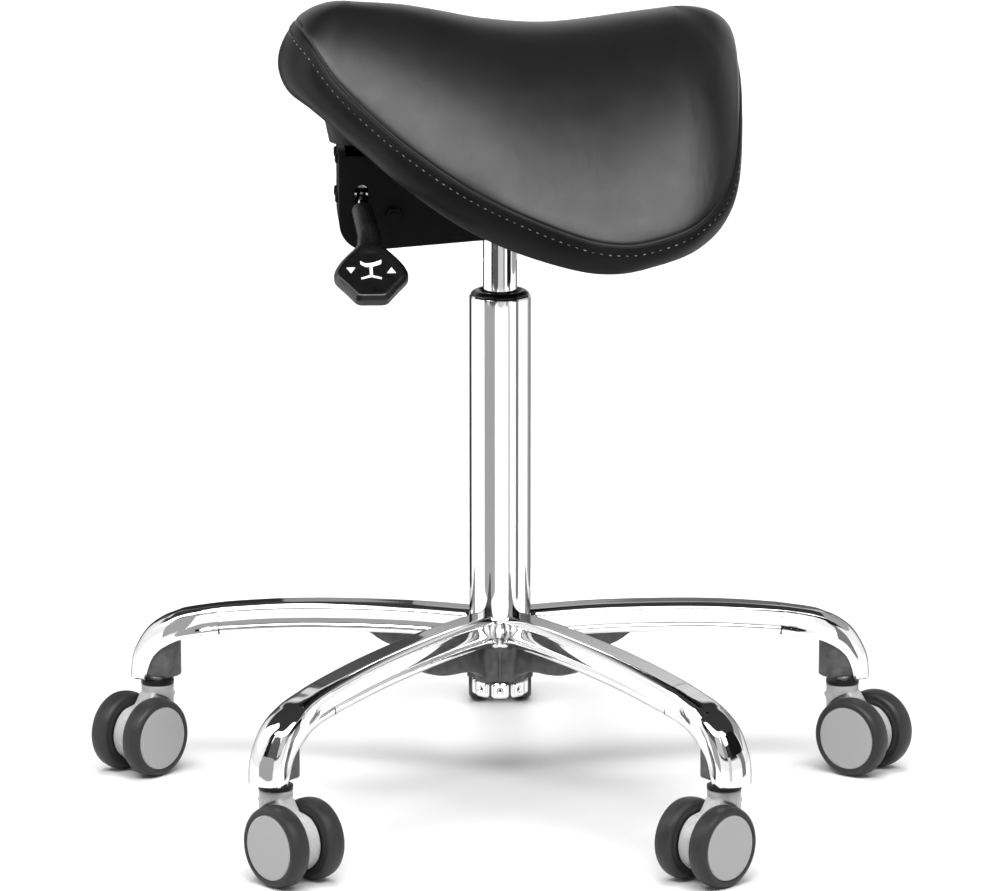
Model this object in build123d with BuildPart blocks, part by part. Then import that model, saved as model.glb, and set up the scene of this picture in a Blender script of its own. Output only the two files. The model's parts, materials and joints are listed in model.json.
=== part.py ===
"""Saddle stool on a five-leg castor base, with a gas lift and a tilting seat.

Frame: +Z up, origin on the floor under the column's axis. -Y is the front of the
saddle (its narrow pommel) and +X is the sitter's left, where the height lever is.
"""

from build123d import *
from math import cos, radians, sin
import os

os.makedirs("parts", exist_ok=True)

# ---- driving dimensions, millimetres and degrees ----
FIT = 0.02  # radial gap of pieces pressed or fixed together
RUN = 0.05  # radial gap of a shaft that turns or slides

LEG_COUNT = 5
BASE_TURN = -3.0  # the star's symmetry line, measured from +X
STEM_CIRCLE = 300.0
HUB_BOTTOM = 101.5
HUB_TOP = 157.0
LEG_WIDTH = 27.0
BOOT_WIDTH = 35.0
BOOT_BOTTOM = 77.5
BOSS_BOTTOM = 75.2
BOSS_RADIUS = 14.5
END_RING_RADIUS = 22.5
END_RING_BORE = 17.0
END_RING_HEIGHT = 14.5
END_RING_NOTCHES = 8

TUBE_RADIUS = 25.0
TUBE_WALL = 2.5
TUBE_TOP = 422.0
TAPER_TOP = 150.0  # the column's lower end narrows from here down to the hub's bottom
TAPER_END_RADIUS = 19.5
PLATE_BOTTOM = 104.0
PLATE_THICK = 6.0
BUSH_BOTTOM = 268.0
LIFT_STROKE = 200.0
PRESSURE_RADIUS = 14.0
PRESSURE_BORE = 12.5
PRESSURE_BOTTOM = 128.0
PRESSURE_TOP = 520.0
GLAND_HEIGHT = 14.0
ROD_RADIUS = 5.0
ROD_END_RADIUS = 4.0
ROD_BOTTOM = 98.0
ROD_SHOULDER = 117.2
CLIP_GROOVE_Z = 101.2
CLIP_GROOVE_RADIUS = 3.0
CLIP_GROOVE_HEIGHT = 1.6
WASHER_RADIUS = 13.0
WASHER_THICK = 1.7
BALL_RADIUS = 1.7
BALL_COUNT = 9
PIN_RADIUS = 2.5
PIN_TOP = 528.0
PIN_LENGTH = 34.0

WHEEL_RADIUS = 32.8
TRAIL = 22.0
WHEEL_GAP_HALF = 8.8
WHEEL_OUTER = 27.0
CORE_RADIUS = 26.0
AXLE_RADIUS = 3.0
AXLE_HALF = 23.0
HOOD_RADIUS = 23.5
STEM_RADIUS = 5.5
NECK_RADIUS = 13.5
NECK_BOTTOM = 44.0
NECK_TOP = 72.0
STEM_BOTTOM = 50.0
STEM_TOP = 111.0
COLLAR_RADIUS = 13.8
# castor name: how far its trail is turned from the star's symmetry line
CASTER_TURNS = {
    "right": 180.0,
    "front_right": 318.5,
    "front_left": 42.0,
    "rear_left": 316.2,
    "rear_right": 53.1,
}

HOUSING_HALF = 40.0
HOUSING_FRONT = -131.0
HOUSING_REAR = 60.0
HOUSING_TOP = 541.0
HOUSING_FRONT_BOTTOM = 463.0
HOUSING_REAR_BOTTOM = 478.0
SHEET = 3.0
SOCKET_RADIUS = 19.0  # the boss inside the housing that holds the pressure tube
SOCKET_BOTTOM = 474.0
SOCKET_TOP = 514.0
SCREW_RADIUS = 2.5
SCREW_HEAD_RADIUS = 4.4
SCREW_HEAD_HEIGHT = 2.4
SCREW_PLACES = [(x, z) for x in (-26.0, 6.0) for z in (502.0, 534.0)]  # on X and Z
LEVER_Y = -113.0
LEVER_PIVOT_X = 24.0
LEVER_PIVOT_Z = 508.0
LEVER_ELBOW_X = 52.0
LEVER_SLOPE = 33.0
LEVER_ROD_RADIUS = 4.0
LEVER_HUB_RADIUS = 7.0
LEVER_PIN_RADIUS = 3.0
TILT_Y = -87.0
TILT_Z = 493.0
TILT_BOLT_RADIUS = 4.0
SEAT_PLATE_Z = 545.0
SEAT_PLATE_THICK = 4.0
SEAT_PLATE_FRONT = -114.0
SEAT_PLATE_REAR = 66.0
EAR_RADIUS = 12.0
SEAT_BOLT_RADIUS = 3.0

# the saddle, front to back: place along Y, half width at the seam, seam height, crest height
SADDLE = [
    (-174.0, 20.0, 632.0, 637.0),
    (-150.0, 46.0, 630.0, 655.0),
    (-125.0, 69.0, 598.0, 660.0),
    (-83.0, 100.0, 563.0, 658.0),
    (-40.0, 127.0, 535.0, 651.0),
    (5.0, 152.0, 514.0, 644.0),
    (45.0, 170.0, 500.0, 643.0),
    (85.0, 178.0, 493.0, 648.0),
    (120.0, 174.0, 496.0, 652.0),
    (150.0, 159.0, 508.0, 653.0),
    (175.0, 126.0, 537.0, 645.0),
    (189.0, 72.0, 588.0, 620.0),
]
CROWN_POWER = 1.9
CUSHION_DEPTH = 36.0
SHELL_TOP = 36.5
SHELL_BOTTOM = 44.5
SHELL_WIDTH = 0.85
SEAT_BOLT_PLACES = [(-22.0, -58.0), (22.0, -58.0), (-22.0, 42.0), (22.0, 42.0)]


def save(piece, name):
    """Label one finished piece and write it to its own STEP file."""
    piece.label = name
    export_step(piece, f"parts/{name}.step")


def ring(outer, inner, bottom, top):
    """A plain ring about the column's axis."""
    with BuildPart() as made:
        with BuildSketch(Plane.XY.offset(bottom)):
            Circle(outer)
            Circle(inner, mode=Mode.SUBTRACT)
        extrude(amount=top - bottom)
    return made.part


# ---------------------------------------------------------------- star base
with BuildPart() as leg:
    with BuildSketch(Plane.XZ):
        with BuildLine():
            Line((20, 157.6), (150, 155))
            Spline(
                (150, 155), (206, 149.5), (260, 139), (300, 121.5), (316, 97), (319, BOOT_BOTTOM),
                tangents=[(1, -0.02), (0, -1)],
            )
            Line((319, BOOT_BOTTOM), (285, BOOT_BOTTOM))
            Spline(
                (285, BOOT_BOTTOM), (281, 96), (266, 110), (206, 125.5), (150, 131),
                tangents=[(0, 1), (-1, 0.02)],
            )
            Line((150, 131), (20, 134))
            Line((20, 134), (20, 157.6))
        make_face()
    extrude(amount=LEG_WIDTH / 2, both=True)
    long_top_edges = leg.edges().filter_by(lambda e: e.length > 100 and e.center().Z > 135)
    chamfer(long_top_edges, 4.0)
    with BuildSketch(Plane.XZ):
        Polygon((52, 118), (52, 149), (150, 147), (206, 141), (246, 133), (262, 122), (262, 100), align=None)
    extrude(amount=LEG_WIDTH / 2 - 4.5, both=True, mode=Mode.SUBTRACT)

with BuildPart() as boot:
    with BuildSketch(Plane.XZ):
        with BuildLine():
            Spline(
                (268, 137), (300, 122), (316.5, 97), (320, BOOT_BOTTOM),
                tangents=[(1, -0.35), (0, -1)],
            )
            Line((320, BOOT_BOTTOM), (285, BOOT_BOTTOM))
            Spline((285, BOOT_BOTTOM), (281, 96), (262, 112), tangents=[(0, 1), (-1, 0.5)])
            Line((262, 112), (268, 137))
        make_face()
    extrude(amount=BOOT_WIDTH / 2, both=True)
    with BuildSketch(Plane.XY.offset(BOOT_BOTTOM)):
        with Locations((STEM_CIRCLE - 9, 0)):
            Ellipse(29.5, BOOT_WIDTH / 2)
    extrude(amount=70, mode=Mode.INTERSECT)

with BuildPart() as hub_web:
    with BuildSketch(Plane.XZ):
        with BuildLine():
            Line((20, 140), (20, HUB_BOTTOM))
            Line((20, HUB_BOTTOM), (23, HUB_BOTTOM))
            Spline((23, HUB_BOTTOM), (36, 112), (80, 122), tangents=[(0.6, 1), (1, 0.1)])
            Line((80, 122), (80, 140))
            Line((80, 140), (20, 140))
        make_face()
    extrude(amount=6.0, both=True)

with BuildPart() as star_base:
    with BuildSketch(Plane.XZ):
        with BuildLine():
            Polyline((15, HUB_BOTTOM), (23.5, HUB_BOTTOM), (29, 112), (35, 126), (37, 142))
            Spline((37, 142), (32, 153), (28, HUB_TOP), tangents=[(0, 1), (-0.5, 1)])
            Polyline((28, HUB_TOP), (15, HUB_TOP), (15, HUB_BOTTOM))
        make_face()
    revolve(axis=Axis.Z)
    for number in range(LEG_COUNT):
        turn = Rot(0, 0, BASE_TURN + 180 + number * 360 / LEG_COUNT)
        add(turn * leg.part)
        add(turn * boot.part)
        add(turn * hub_web.part)
    with BuildSketch(Plane.XY.offset(BOSS_BOTTOM)):
        with PolarLocations(STEM_CIRCLE, LEG_COUNT, start_angle=BASE_TURN + 180):
            Circle(BOSS_RADIUS)
    extrude(amount=STEM_TOP - BOSS_BOTTOM)
    with BuildSketch(Plane.XY.offset(BOSS_BOTTOM)):
        with PolarLocations(STEM_CIRCLE, LEG_COUNT, start_angle=BASE_TURN + 180):
            Circle(STEM_RADIUS + FIT)
    extrude(amount=STEM_TOP + FIT - BOSS_BOTTOM, mode=Mode.SUBTRACT)
    with BuildSketch(Plane.XZ):
        Polygon(
            (0, HUB_BOTTOM), (TAPER_END_RADIUS + FIT, HUB_BOTTOM), (TUBE_RADIUS + FIT, TAPER_TOP),
            (TUBE_RADIUS + FIT, HUB_TOP + 5), (0, HUB_TOP + 5),
            align=None,
        )
    revolve(axis=Axis.Z, mode=Mode.SUBTRACT)
save(star_base.part, "star_base")

with BuildPart() as hub_end_ring:
    with BuildSketch(Plane.XY.offset(HUB_BOTTOM - END_RING_HEIGHT)):
        Circle(END_RING_RADIUS)
        Circle(END_RING_BORE, mode=Mode.SUBTRACT)
    extrude(amount=END_RING_HEIGHT)
    chamfer(hub_end_ring.edges().group_by(Axis.Z)[0], 1.2)
    for number in range(END_RING_NOTCHES):
        notch_turn = radians(number * 360 / END_RING_NOTCHES)
        notch = Plane(origin=(0, 0, HUB_BOTTOM - 11), z_dir=(cos(notch_turn), sin(notch_turn), 0))
        with BuildSketch(notch.offset(END_RING_RADIUS - 4)):
            Rectangle(5.0, 9.0)
        extrude(amount=6, mode=Mode.SUBTRACT)
        face_turn = notch_turn + radians(180 / END_RING_NOTCHES)
        dimple = Plane(origin=(0, 0, HUB_BOTTOM - 8), z_dir=(cos(face_turn), sin(face_turn), 0))
        with BuildSketch(dimple.offset(END_RING_RADIUS - 2)):
            Circle(2.2)
        extrude(amount=4, mode=Mode.SUBTRACT)
save(hub_end_ring.part, "hub_end_ring")

# ---------------------------------------------------------------- column and gas lift
with BuildPart() as column_tube:
    with BuildSketch(Plane.XZ):
        Polygon(
            (TAPER_END_RADIUS, HUB_BOTTOM), (TUBE_RADIUS, TAPER_TOP), (TUBE_RADIUS, TUBE_TOP),
            (TUBE_RADIUS - TUBE_WALL, TUBE_TOP), (TUBE_RADIUS - TUBE_WALL, TAPER_TOP),
            (TAPER_END_RADIUS - TUBE_WALL, HUB_BOTTOM),
            align=None,
        )
    revolve(axis=Axis.Z)
    fillet(column_tube.edges().group_by(Axis.Z)[-1].sort_by(SortBy.LENGTH)[-1], 1.8)
save(column_tube.part, "column_tube")

tube_bore = TUBE_RADIUS - TUBE_WALL - FIT
save(ring(tube_bore, PRESSURE_RADIUS + RUN, BUSH_BOTTOM, TUBE_TOP - 1.0), "guide_bush")
plate_radius = TAPER_END_RADIUS - TUBE_WALL
save(
    ring(plate_radius, ROD_END_RADIUS + RUN, PLATE_BOTTOM, PLATE_BOTTOM + PLATE_THICK),
    "column_end_plate",
)

bearing_bottom = PLATE_BOTTOM + PLATE_THICK
with BuildPart() as thrust_bearing:
    for washer_bottom in (bearing_bottom, ROD_SHOULDER - WASHER_THICK - 0.3):
        with BuildSketch(Plane.XY.offset(washer_bottom)):
            Circle(WASHER_RADIUS)
            Circle(ROD_END_RADIUS + RUN, mode=Mode.SUBTRACT)
        extrude(amount=WASHER_THICK)
    with Locations((0, 0, (bearing_bottom + ROD_SHOULDER - 0.3) / 2)):
        with PolarLocations(WASHER_RADIUS - 4, BALL_COUNT):
            Sphere(BALL_RADIUS)
save(thrust_bearing.part, "thrust_bearing")

rod_top = PRESSURE_BOTTOM + GLAND_HEIGHT + LIFT_STROKE + 14
with BuildPart() as piston_rod:
    with BuildSketch(Plane.XY.offset(ROD_BOTTOM)):
        Circle(ROD_END_RADIUS)
    extrude(amount=ROD_SHOULDER - ROD_BOTTOM)
    with BuildSketch(Plane.XY.offset(ROD_SHOULDER)):
        Circle(ROD_RADIUS)
    extrude(amount=rod_top - ROD_SHOULDER)
    with BuildSketch(Plane.XY.offset(CLIP_GROOVE_Z)):
        Circle(ROD_END_RADIUS + 1)
        Circle(CLIP_GROOVE_RADIUS, mode=Mode.SUBTRACT)
    extrude(amount=CLIP_GROOVE_HEIGHT, mode=Mode.SUBTRACT)
save(piston_rod.part, "piston_rod")
clip_bottom = CLIP_GROOVE_Z + RUN
clip_top = CLIP_GROOVE_Z + CLIP_GROOVE_HEIGHT - RUN
save(ring(9.0, CLIP_GROOVE_RADIUS + FIT, clip_bottom, clip_top), "retaining_clip")
save(ring(PRESSURE_BORE - 0.08, ROD_RADIUS + FIT, rod_top - 12, rod_top - 0.5), "gas_piston")

with BuildPart() as pressure_tube:
    with BuildSketch(Plane.XY.offset(PRESSURE_BOTTOM)):
        Circle(PRESSURE_RADIUS)
    extrude(amount=PRESSURE_TOP - PRESSURE_BOTTOM)
    with BuildSketch(Plane.XY.offset(PRESSURE_BOTTOM)):
        Circle(PRESSURE_BORE)
    extrude(amount=PRESSURE_TOP - 16 - PRESSURE_BOTTOM, mode=Mode.SUBTRACT)
    with BuildSketch(Plane.XY.offset(PRESSURE_TOP)):
        Circle(PIN_RADIUS + RUN)
    extrude(amount=-20, mode=Mode.SUBTRACT)
    chamfer(pressure_tube.edges().group_by(Axis.Z)[-1].sort_by(SortBy.LENGTH)[-1], 1.0)
save(pressure_tube.part, "pressure_tube")
save(
    ring(PRESSURE_BORE - FIT, ROD_RADIUS + RUN, PRESSURE_BOTTOM, PRESSURE_BOTTOM + GLAND_HEIGHT),
    "tube_gland",
)

with BuildPart() as release_pin:
    with BuildSketch(Plane.XY.offset(PIN_TOP - PIN_LENGTH)):
        Circle(PIN_RADIUS)
    extrude(amount=PIN_LENGTH)
    chamfer(release_pin.edges().group_by(Axis.Z)[-1], 0.6)
save(release_pin.part, "release_pin")

# ---------------------------------------------------------------- seat mechanism
with BuildPart() as mechanism_housing:
    with BuildSketch(Plane.YZ):
        Polygon(
            (HOUSING_FRONT, HOUSING_FRONT_BOTTOM), (HOUSING_REAR, HOUSING_REAR_BOTTOM),
            (HOUSING_REAR, HOUSING_TOP), (HOUSING_FRONT, HOUSING_TOP),
            align=None,
        )
    extrude(amount=HOUSING_HALF, both=True)
    front_bottom = mechanism_housing.edges().filter_by(Axis.X).group_by(Axis.Z)[0]
    fillet(front_bottom, 22)
    rear_bottom = mechanism_housing.edges().filter_by(Axis.X).sort_by(Axis.Y)[-2:].sort_by(Axis.Z)[0]
    fillet(rear_bottom, 14)
    offset(amount=-SHEET, openings=mechanism_housing.faces().sort_by(Axis.Z)[-1])
    with BuildSketch(Plane.XY.offset(SOCKET_BOTTOM)):
        Circle(SOCKET_RADIUS)
    extrude(amount=SOCKET_TOP - SOCKET_BOTTOM)
    with BuildSketch(Plane.XY.offset(HOUSING_FRONT_BOTTOM)):
        Circle(PRESSURE_RADIUS + FIT)
    extrude(amount=SOCKET_TOP + 1 - HOUSING_FRONT_BOTTOM, mode=Mode.SUBTRACT)
    with BuildSketch(Plane.YZ):
        with Locations((TILT_Y, TILT_Z)):
            Circle(TILT_BOLT_RADIUS + FIT)
    extrude(amount=HOUSING_HALF + 1, both=True, mode=Mode.SUBTRACT)
    with BuildSketch(Plane.YZ.offset(HOUSING_HALF - 5)):
        with Locations((LEVER_Y, LEVER_PIVOT_Z + 1.5)):
            SlotOverall(17.0, 11.0, rotation=90)
    extrude(amount=8, mode=Mode.SUBTRACT)
    with BuildSketch(Plane.XZ.offset(-HOUSING_FRONT - 5)):
        with Locations(*SCREW_PLACES):
            Circle(SCREW_RADIUS + FIT)
    extrude(amount=8, mode=Mode.SUBTRACT)
save(mechanism_housing.part, "mechanism_housing")

with BuildPart() as housing_screws:
    with BuildSketch(Plane.XZ.offset(-HOUSING_FRONT)):
        with Locations(*SCREW_PLACES):
            Circle(SCREW_HEAD_RADIUS)
    extrude(amount=SCREW_HEAD_HEIGHT)
    fillet(housing_screws.edges().group_by(Axis.Y)[0], 1.9)
    with BuildSketch(Plane.XZ.offset(-HOUSING_FRONT)):
        with Locations(*SCREW_PLACES):
            Circle(SCREW_RADIUS)
    extrude(amount=-8)
save(housing_screws.part, "housing_screws")

with BuildPart() as lever_bracket:
    with BuildSketch(Plane.XZ.offset(-HOUSING_FRONT - SHEET)):
        with Locations((0, 518)):
            RectangleRounded(66, 44, 4)
        with Locations(*SCREW_PLACES):
            Circle(SCREW_RADIUS + FIT, mode=Mode.SUBTRACT)
    extrude(amount=-SHEET)
    with BuildSketch(Plane.XY.offset(496.0)):
        with Locations((LEVER_PIVOT_X, -114.0)):
            Rectangle(16, 22)
    extrude(amount=SHEET)
    with BuildSketch(Plane.XZ.offset(103.0)):
        with Locations((LEVER_PIVOT_X, 506.0)):
            Rectangle(16, 20)
    extrude(amount=-SHEET)
    with BuildSketch(Plane.XZ.offset(90)):
        with Locations((LEVER_PIVOT_X, LEVER_PIVOT_Z)):
            Circle(LEVER_PIN_RADIUS + FIT)
    extrude(amount=45, mode=Mode.SUBTRACT)
save(lever_bracket.part, "lever_bracket")

with BuildPart() as lever_pivot_pin:
    with BuildSketch(Plane.XZ.offset(99.0)):
        with Locations((LEVER_PIVOT_X, LEVER_PIVOT_Z)):
            Circle(LEVER_PIN_RADIUS)
    extrude(amount=28.5)
save(lever_pivot_pin.part, "lever_pivot_pin")

slope = radians(LEVER_SLOPE)
rod_end = (LEVER_ELBOW_X + 34 * cos(slope), LEVER_PIVOT_Z - 34 * sin(slope))
lever_plane = Plane.XZ.offset(-LEVER_Y)
with BuildPart() as height_lever_rod:
    with BuildSketch(Plane.XZ.offset(104.0)):
        with Locations((LEVER_PIVOT_X, LEVER_PIVOT_Z)):
            Circle(LEVER_HUB_RADIUS)
    extrude(amount=19.0)
    with BuildLine(lever_plane) as lever_path:
        FilletPolyline(
            (LEVER_PIVOT_X, LEVER_PIVOT_Z), (LEVER_ELBOW_X, LEVER_PIVOT_Z), rod_end, radius=14
        )
    with BuildSketch(Plane(lever_path.line @ 0, z_dir=lever_path.line % 0)):
        Circle(LEVER_ROD_RADIUS)
    sweep(path=lever_path.line)
    with BuildSketch(Plane.XY.offset(LEVER_PIVOT_Z)):
        with Locations((LEVER_PIVOT_X, LEVER_Y - 0.5)):
            Rectangle(8, 17)
    extrude(amount=PIN_TOP + 4.6 - LEVER_PIVOT_Z)
    with BuildSketch(Plane.XY.offset(PIN_TOP + 0.6)):
        Polygon((20, -122), (28, -122), (28, -104), (5, 5), (-5, 5), (-5, -8), (20, -104), align=None)
    extrude(amount=4.0)
    with BuildSketch(Plane.XZ.offset(95.0)):
        with Locations((LEVER_PIVOT_X, LEVER_PIVOT_Z)):
            Circle(LEVER_PIN_RADIUS + RUN)
    extrude(amount=35, mode=Mode.SUBTRACT)
save(height_lever_rod.part, "height_lever_rod")

handle_plane = Plane(
    origin=(LEVER_ELBOW_X, LEVER_Y, LEVER_PIVOT_Z),
    x_dir=(cos(slope), 0, -sin(slope)),
    z_dir=(sin(slope), 0, cos(slope)),
)
across = Plane(origin=handle_plane.origin, x_dir=(0, 1, 0), z_dir=(cos(slope), 0, -sin(slope)))
with BuildPart() as height_lever_handle:
    with BuildSketch(across.offset(12)):
        Circle(8.2)
    with BuildSketch(across.offset(64)):
        Ellipse(11.0, 6.0)
    loft()
    with BuildSketch(handle_plane.offset(-6)):
        Polygon(
            (56, -10.5), (85, -29.5), (92, -29.5), (120, -14),
            (120, 14), (92, 29.5), (85, 29.5), (56, 10.5),
            align=None,
        )
    extrude(amount=12)
    with BuildSketch(across.offset(8)):
        Circle(LEVER_ROD_RADIUS + FIT)
    extrude(amount=26.5, mode=Mode.SUBTRACT)
save(height_lever_handle.part, "height_lever_handle")

with BuildPart() as tilt_bolt:
    with BuildSketch(Plane.YZ.offset(-HOUSING_HALF - 14)):
        with Locations((TILT_Y, TILT_Z)):
            Circle(TILT_BOLT_RADIUS)
    extrude(amount=2 * HOUSING_HALF + 14 + 9)
save(tilt_bolt.part, "tilt_bolt")

with BuildPart() as tilt_nut:
    with BuildSketch(Plane.YZ.offset(HOUSING_HALF)):
        with Locations((TILT_Y, TILT_Z)):
            RegularPolygon(radius=7.5, side_count=6)
            Circle(TILT_BOLT_RADIUS + FIT, mode=Mode.SUBTRACT)
    extrude(amount=7.0)
save(tilt_nut.part, "tilt_nut")

with BuildPart() as tilt_lever:
    with BuildSketch(Plane.YZ.offset(-HOUSING_HALF - 0.3)):
        with Locations((TILT_Y, TILT_Z)):
            Circle(10.0)
    extrude(amount=-12.0)
    with BuildSketch(Plane.YZ.offset(-HOUSING_HALF - 4.0)):
        with Locations((TILT_Y + 35, TILT_Z)):
            SlotOverall(84, 13)
    extrude(amount=-6.0)
    with BuildSketch(Plane.YZ.offset(-HOUSING_HALF)):
        with Locations((TILT_Y, TILT_Z)):
            Circle(TILT_BOLT_RADIUS + RUN)
    extrude(amount=-16.0, mode=Mode.SUBTRACT)
save(tilt_lever.part, "tilt_lever")

ear_outer = HOUSING_HALF - SHEET - 0.5
with BuildPart() as seat_plate:
    with BuildSketch(Plane.XY.offset(SEAT_PLATE_Z)):
        with Locations((0, (SEAT_PLATE_FRONT + SEAT_PLATE_REAR) / 2)):
            RectangleRounded(2 * ear_outer, SEAT_PLATE_REAR - SEAT_PLATE_FRONT, 8)
        with Locations(*SEAT_BOLT_PLACES):
            Circle(SEAT_BOLT_RADIUS + FIT, mode=Mode.SUBTRACT)
    extrude(amount=SEAT_PLATE_THICK)
    for side in (-1, 1):
        ear_plane = Plane.YZ.offset(side * (ear_outer - SHEET / 2))
        with BuildSketch(ear_plane):
            Polygon((-99, TILT_Z), (-75, TILT_Z), (-60, SEAT_PLATE_Z + 1), (-99, SEAT_PLATE_Z + 1), align=None)
            with Locations((TILT_Y, TILT_Z)):
                Circle(EAR_RADIUS)
                Circle(TILT_BOLT_RADIUS + RUN, mode=Mode.SUBTRACT)
        extrude(amount=SHEET / 2, both=True)
save(seat_plate.part, "seat_plate")


# ---------------------------------------------------------------- saddle seat
def saddle_height(half_width, seam, crest, x):
    """Height of the seat's top surface at x in one cross-section."""
    return crest - (crest - seam) * abs(x / half_width) ** CROWN_POWER


def height_at(x, y):
    """Height of the seat's top surface, straight between the two nearest cross-sections."""
    for front, back in zip(SADDLE, SADDLE[1:]):
        if front[0] <= y <= back[0]:
            part_way = (y - front[0]) / (back[0] - front[0])
            mixed = [a + (b - a) * part_way for a, b in zip(front, back)]
            return saddle_height(mixed[1], mixed[2], mixed[3], x)
    raise ValueError("outside the seat")


def saddle_layer(top_drop, bottom_drop, width_share):
    """A layer of the seat between two depths under its top surface."""
    steps = [-1, -0.7, -0.4, 0, 0.4, 0.7, 1]
    with BuildPart() as layer:
        for y, half_width, seam, crest in SADDLE:
            across_x = [step * width_share * half_width for step in steps]
            top = [(x, saddle_height(half_width, seam, crest, x) - top_drop) for x in across_x]
            bottom = [(x, z + top_drop - bottom_drop) for x, z in top]
            with BuildSketch(Plane.XZ.offset(-y)):
                with BuildLine():
                    Spline(*top)
                    Line(top[-1], bottom[-1])
                    Spline(*reversed(bottom))
                    Line(bottom[0], top[0])
                make_face()
        loft()
    return layer.part


seat_cushion = saddle_layer(0.0, CUSHION_DEPTH, 1.0)
save(seat_cushion, "seat_cushion")

bolt_tops = [height_at(x, y) - (SHELL_TOP + SHELL_BOTTOM) / 2 for x, y in SEAT_BOLT_PLACES]
with BuildPart() as seat_bolts:
    for place, bolt_top in zip(SEAT_BOLT_PLACES, bolt_tops):
        with BuildSketch(Plane.XY.offset(SEAT_PLATE_Z - 3.5)):
            with Locations(place):
                Circle(5.5)
        extrude(amount=3.5)
        with BuildSketch(Plane.XY.offset(SEAT_PLATE_Z)):
            with Locations(place):
                Circle(SEAT_BOLT_RADIUS)
        extrude(amount=bolt_top - SEAT_PLATE_Z)
save(seat_bolts.part, "seat_bolts")

with BuildPart() as seat_shell:
    add(saddle_layer(SHELL_TOP, SHELL_BOTTOM, SHELL_WIDTH))
    add(saddle_layer(-20.0, CUSHION_DEPTH + 0.3, 1.0), mode=Mode.SUBTRACT)
    for place, bolt_top in zip(SEAT_BOLT_PLACES, bolt_tops):
        with BuildSketch(Plane.XY.offset(SEAT_PLATE_Z)):
            with Locations(place):
                Circle(SEAT_BOLT_RADIUS + FIT)
        extrude(amount=bolt_top - SEAT_PLATE_Z + FIT, mode=Mode.SUBTRACT)
save(seat_shell.part, "seat_shell")

adapter_bottom = SEAT_PLATE_Z + SEAT_PLATE_THICK
with BuildPart() as seat_adapter:
    with BuildSketch(Plane.XY.offset(adapter_bottom)):
        with Locations((0, -36)):
            RectangleRounded(72, 204, 26)
    with BuildSketch(Plane.XY.offset(adapter_bottom + 96)):
        with Locations((0, -39.5)):
            RectangleRounded(96, 237, 38)
    loft()
    add(saddle_layer(-40.0, SHELL_BOTTOM + 0.8, 1.0), mode=Mode.SUBTRACT)
    with BuildSketch(Plane.XY.offset(adapter_bottom)):
        with Locations(*SEAT_BOLT_PLACES):
            Circle(SEAT_BOLT_RADIUS + FIT)
    extrude(amount=90, mode=Mode.SUBTRACT)
save(seat_adapter.part, "seat_adapter")

# ---------------------------------------------------------------- castors
with BuildPart() as caster_stems:
    with BuildSketch(Plane.XY.offset(STEM_BOTTOM)):
        with PolarLocations(STEM_CIRCLE, LEG_COUNT, start_angle=BASE_TURN + 180):
            Circle(STEM_RADIUS)
    extrude(amount=STEM_TOP - STEM_BOTTOM)
save(caster_stems.part, "caster_stems")

with BuildPart() as stem_collars:
    with BuildSketch(Plane.XY.offset(NECK_TOP + 0.2)):
        with PolarLocations(STEM_CIRCLE, LEG_COUNT, start_angle=BASE_TURN + 180):
            Circle(COLLAR_RADIUS)
        with PolarLocations(STEM_CIRCLE, LEG_COUNT, start_angle=BASE_TURN + 180):
            Circle(STEM_RADIUS + FIT, mode=Mode.SUBTRACT)
    extrude(amount=BOSS_BOTTOM - NECK_TOP - 0.2)
save(stem_collars.part, "stem_collars")

with BuildPart() as caster_body:
    with BuildSketch(Plane.XY.offset(NECK_BOTTOM)):
        Circle(NECK_RADIUS)
    extrude(amount=NECK_TOP - NECK_BOTTOM)
    with BuildSketch(Plane.XZ):
        with Locations((TRAIL, WHEEL_RADIUS)):
            Circle(WHEEL_RADIUS + 2)
    extrude(amount=20, both=True, mode=Mode.SUBTRACT)
    with BuildSketch(Plane.XZ):
        with Locations((TRAIL, WHEEL_RADIUS)):
            Circle(HOOD_RADIUS)
        Polygon((-13.4, 62), (13.0, 66), (36, 52), (14, 14), (0, 24), align=None)
    extrude(amount=WHEEL_GAP_HALF - 0.4, both=True)
    with BuildSketch(Plane.XY.offset(STEM_BOTTOM - 1)):
        Circle(STEM_RADIUS + RUN)
    extrude(amount=30, mode=Mode.SUBTRACT)
    with BuildSketch(Plane.XZ):
        with Locations((TRAIL, WHEEL_RADIUS)):
            Circle(AXLE_RADIUS + FIT)
    extrude(amount=12, both=True, mode=Mode.SUBTRACT)

with BuildPart() as caster_axle:
    with BuildSketch(Plane.XZ):
        with Locations((TRAIL, WHEEL_RADIUS)):
            Circle(AXLE_RADIUS)
    extrude(amount=AXLE_HALF, both=True)

with BuildPart() as wheel_core:
    with BuildSketch(Plane.XZ.offset(-WHEEL_OUTER)):
        with Locations((TRAIL, WHEEL_RADIUS)):
            Circle(CORE_RADIUS)
    extrude(amount=WHEEL_OUTER - WHEEL_GAP_HALF)
    with BuildSketch(Plane.XZ):
        with Locations((TRAIL, WHEEL_RADIUS)):
            Circle(AXLE_RADIUS + RUN)
    extrude(amount=-AXLE_HALF - 0.4, mode=Mode.SUBTRACT)

with BuildPart() as wheel_tyre:
    with BuildSketch(Plane.XZ.offset(-WHEEL_OUTER)):
        with Locations((TRAIL, WHEEL_RADIUS)):
            Circle(WHEEL_RADIUS)
            Circle(CORE_RADIUS + FIT, mode=Mode.SUBTRACT)
    extrude(amount=WHEEL_OUTER - WHEEL_GAP_HALF)
    outer_rims = wheel_tyre.edges().filter_by(GeomType.CIRCLE).group_by(SortBy.LENGTH)[-1]
    fillet(outer_rims, 4.2)

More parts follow.
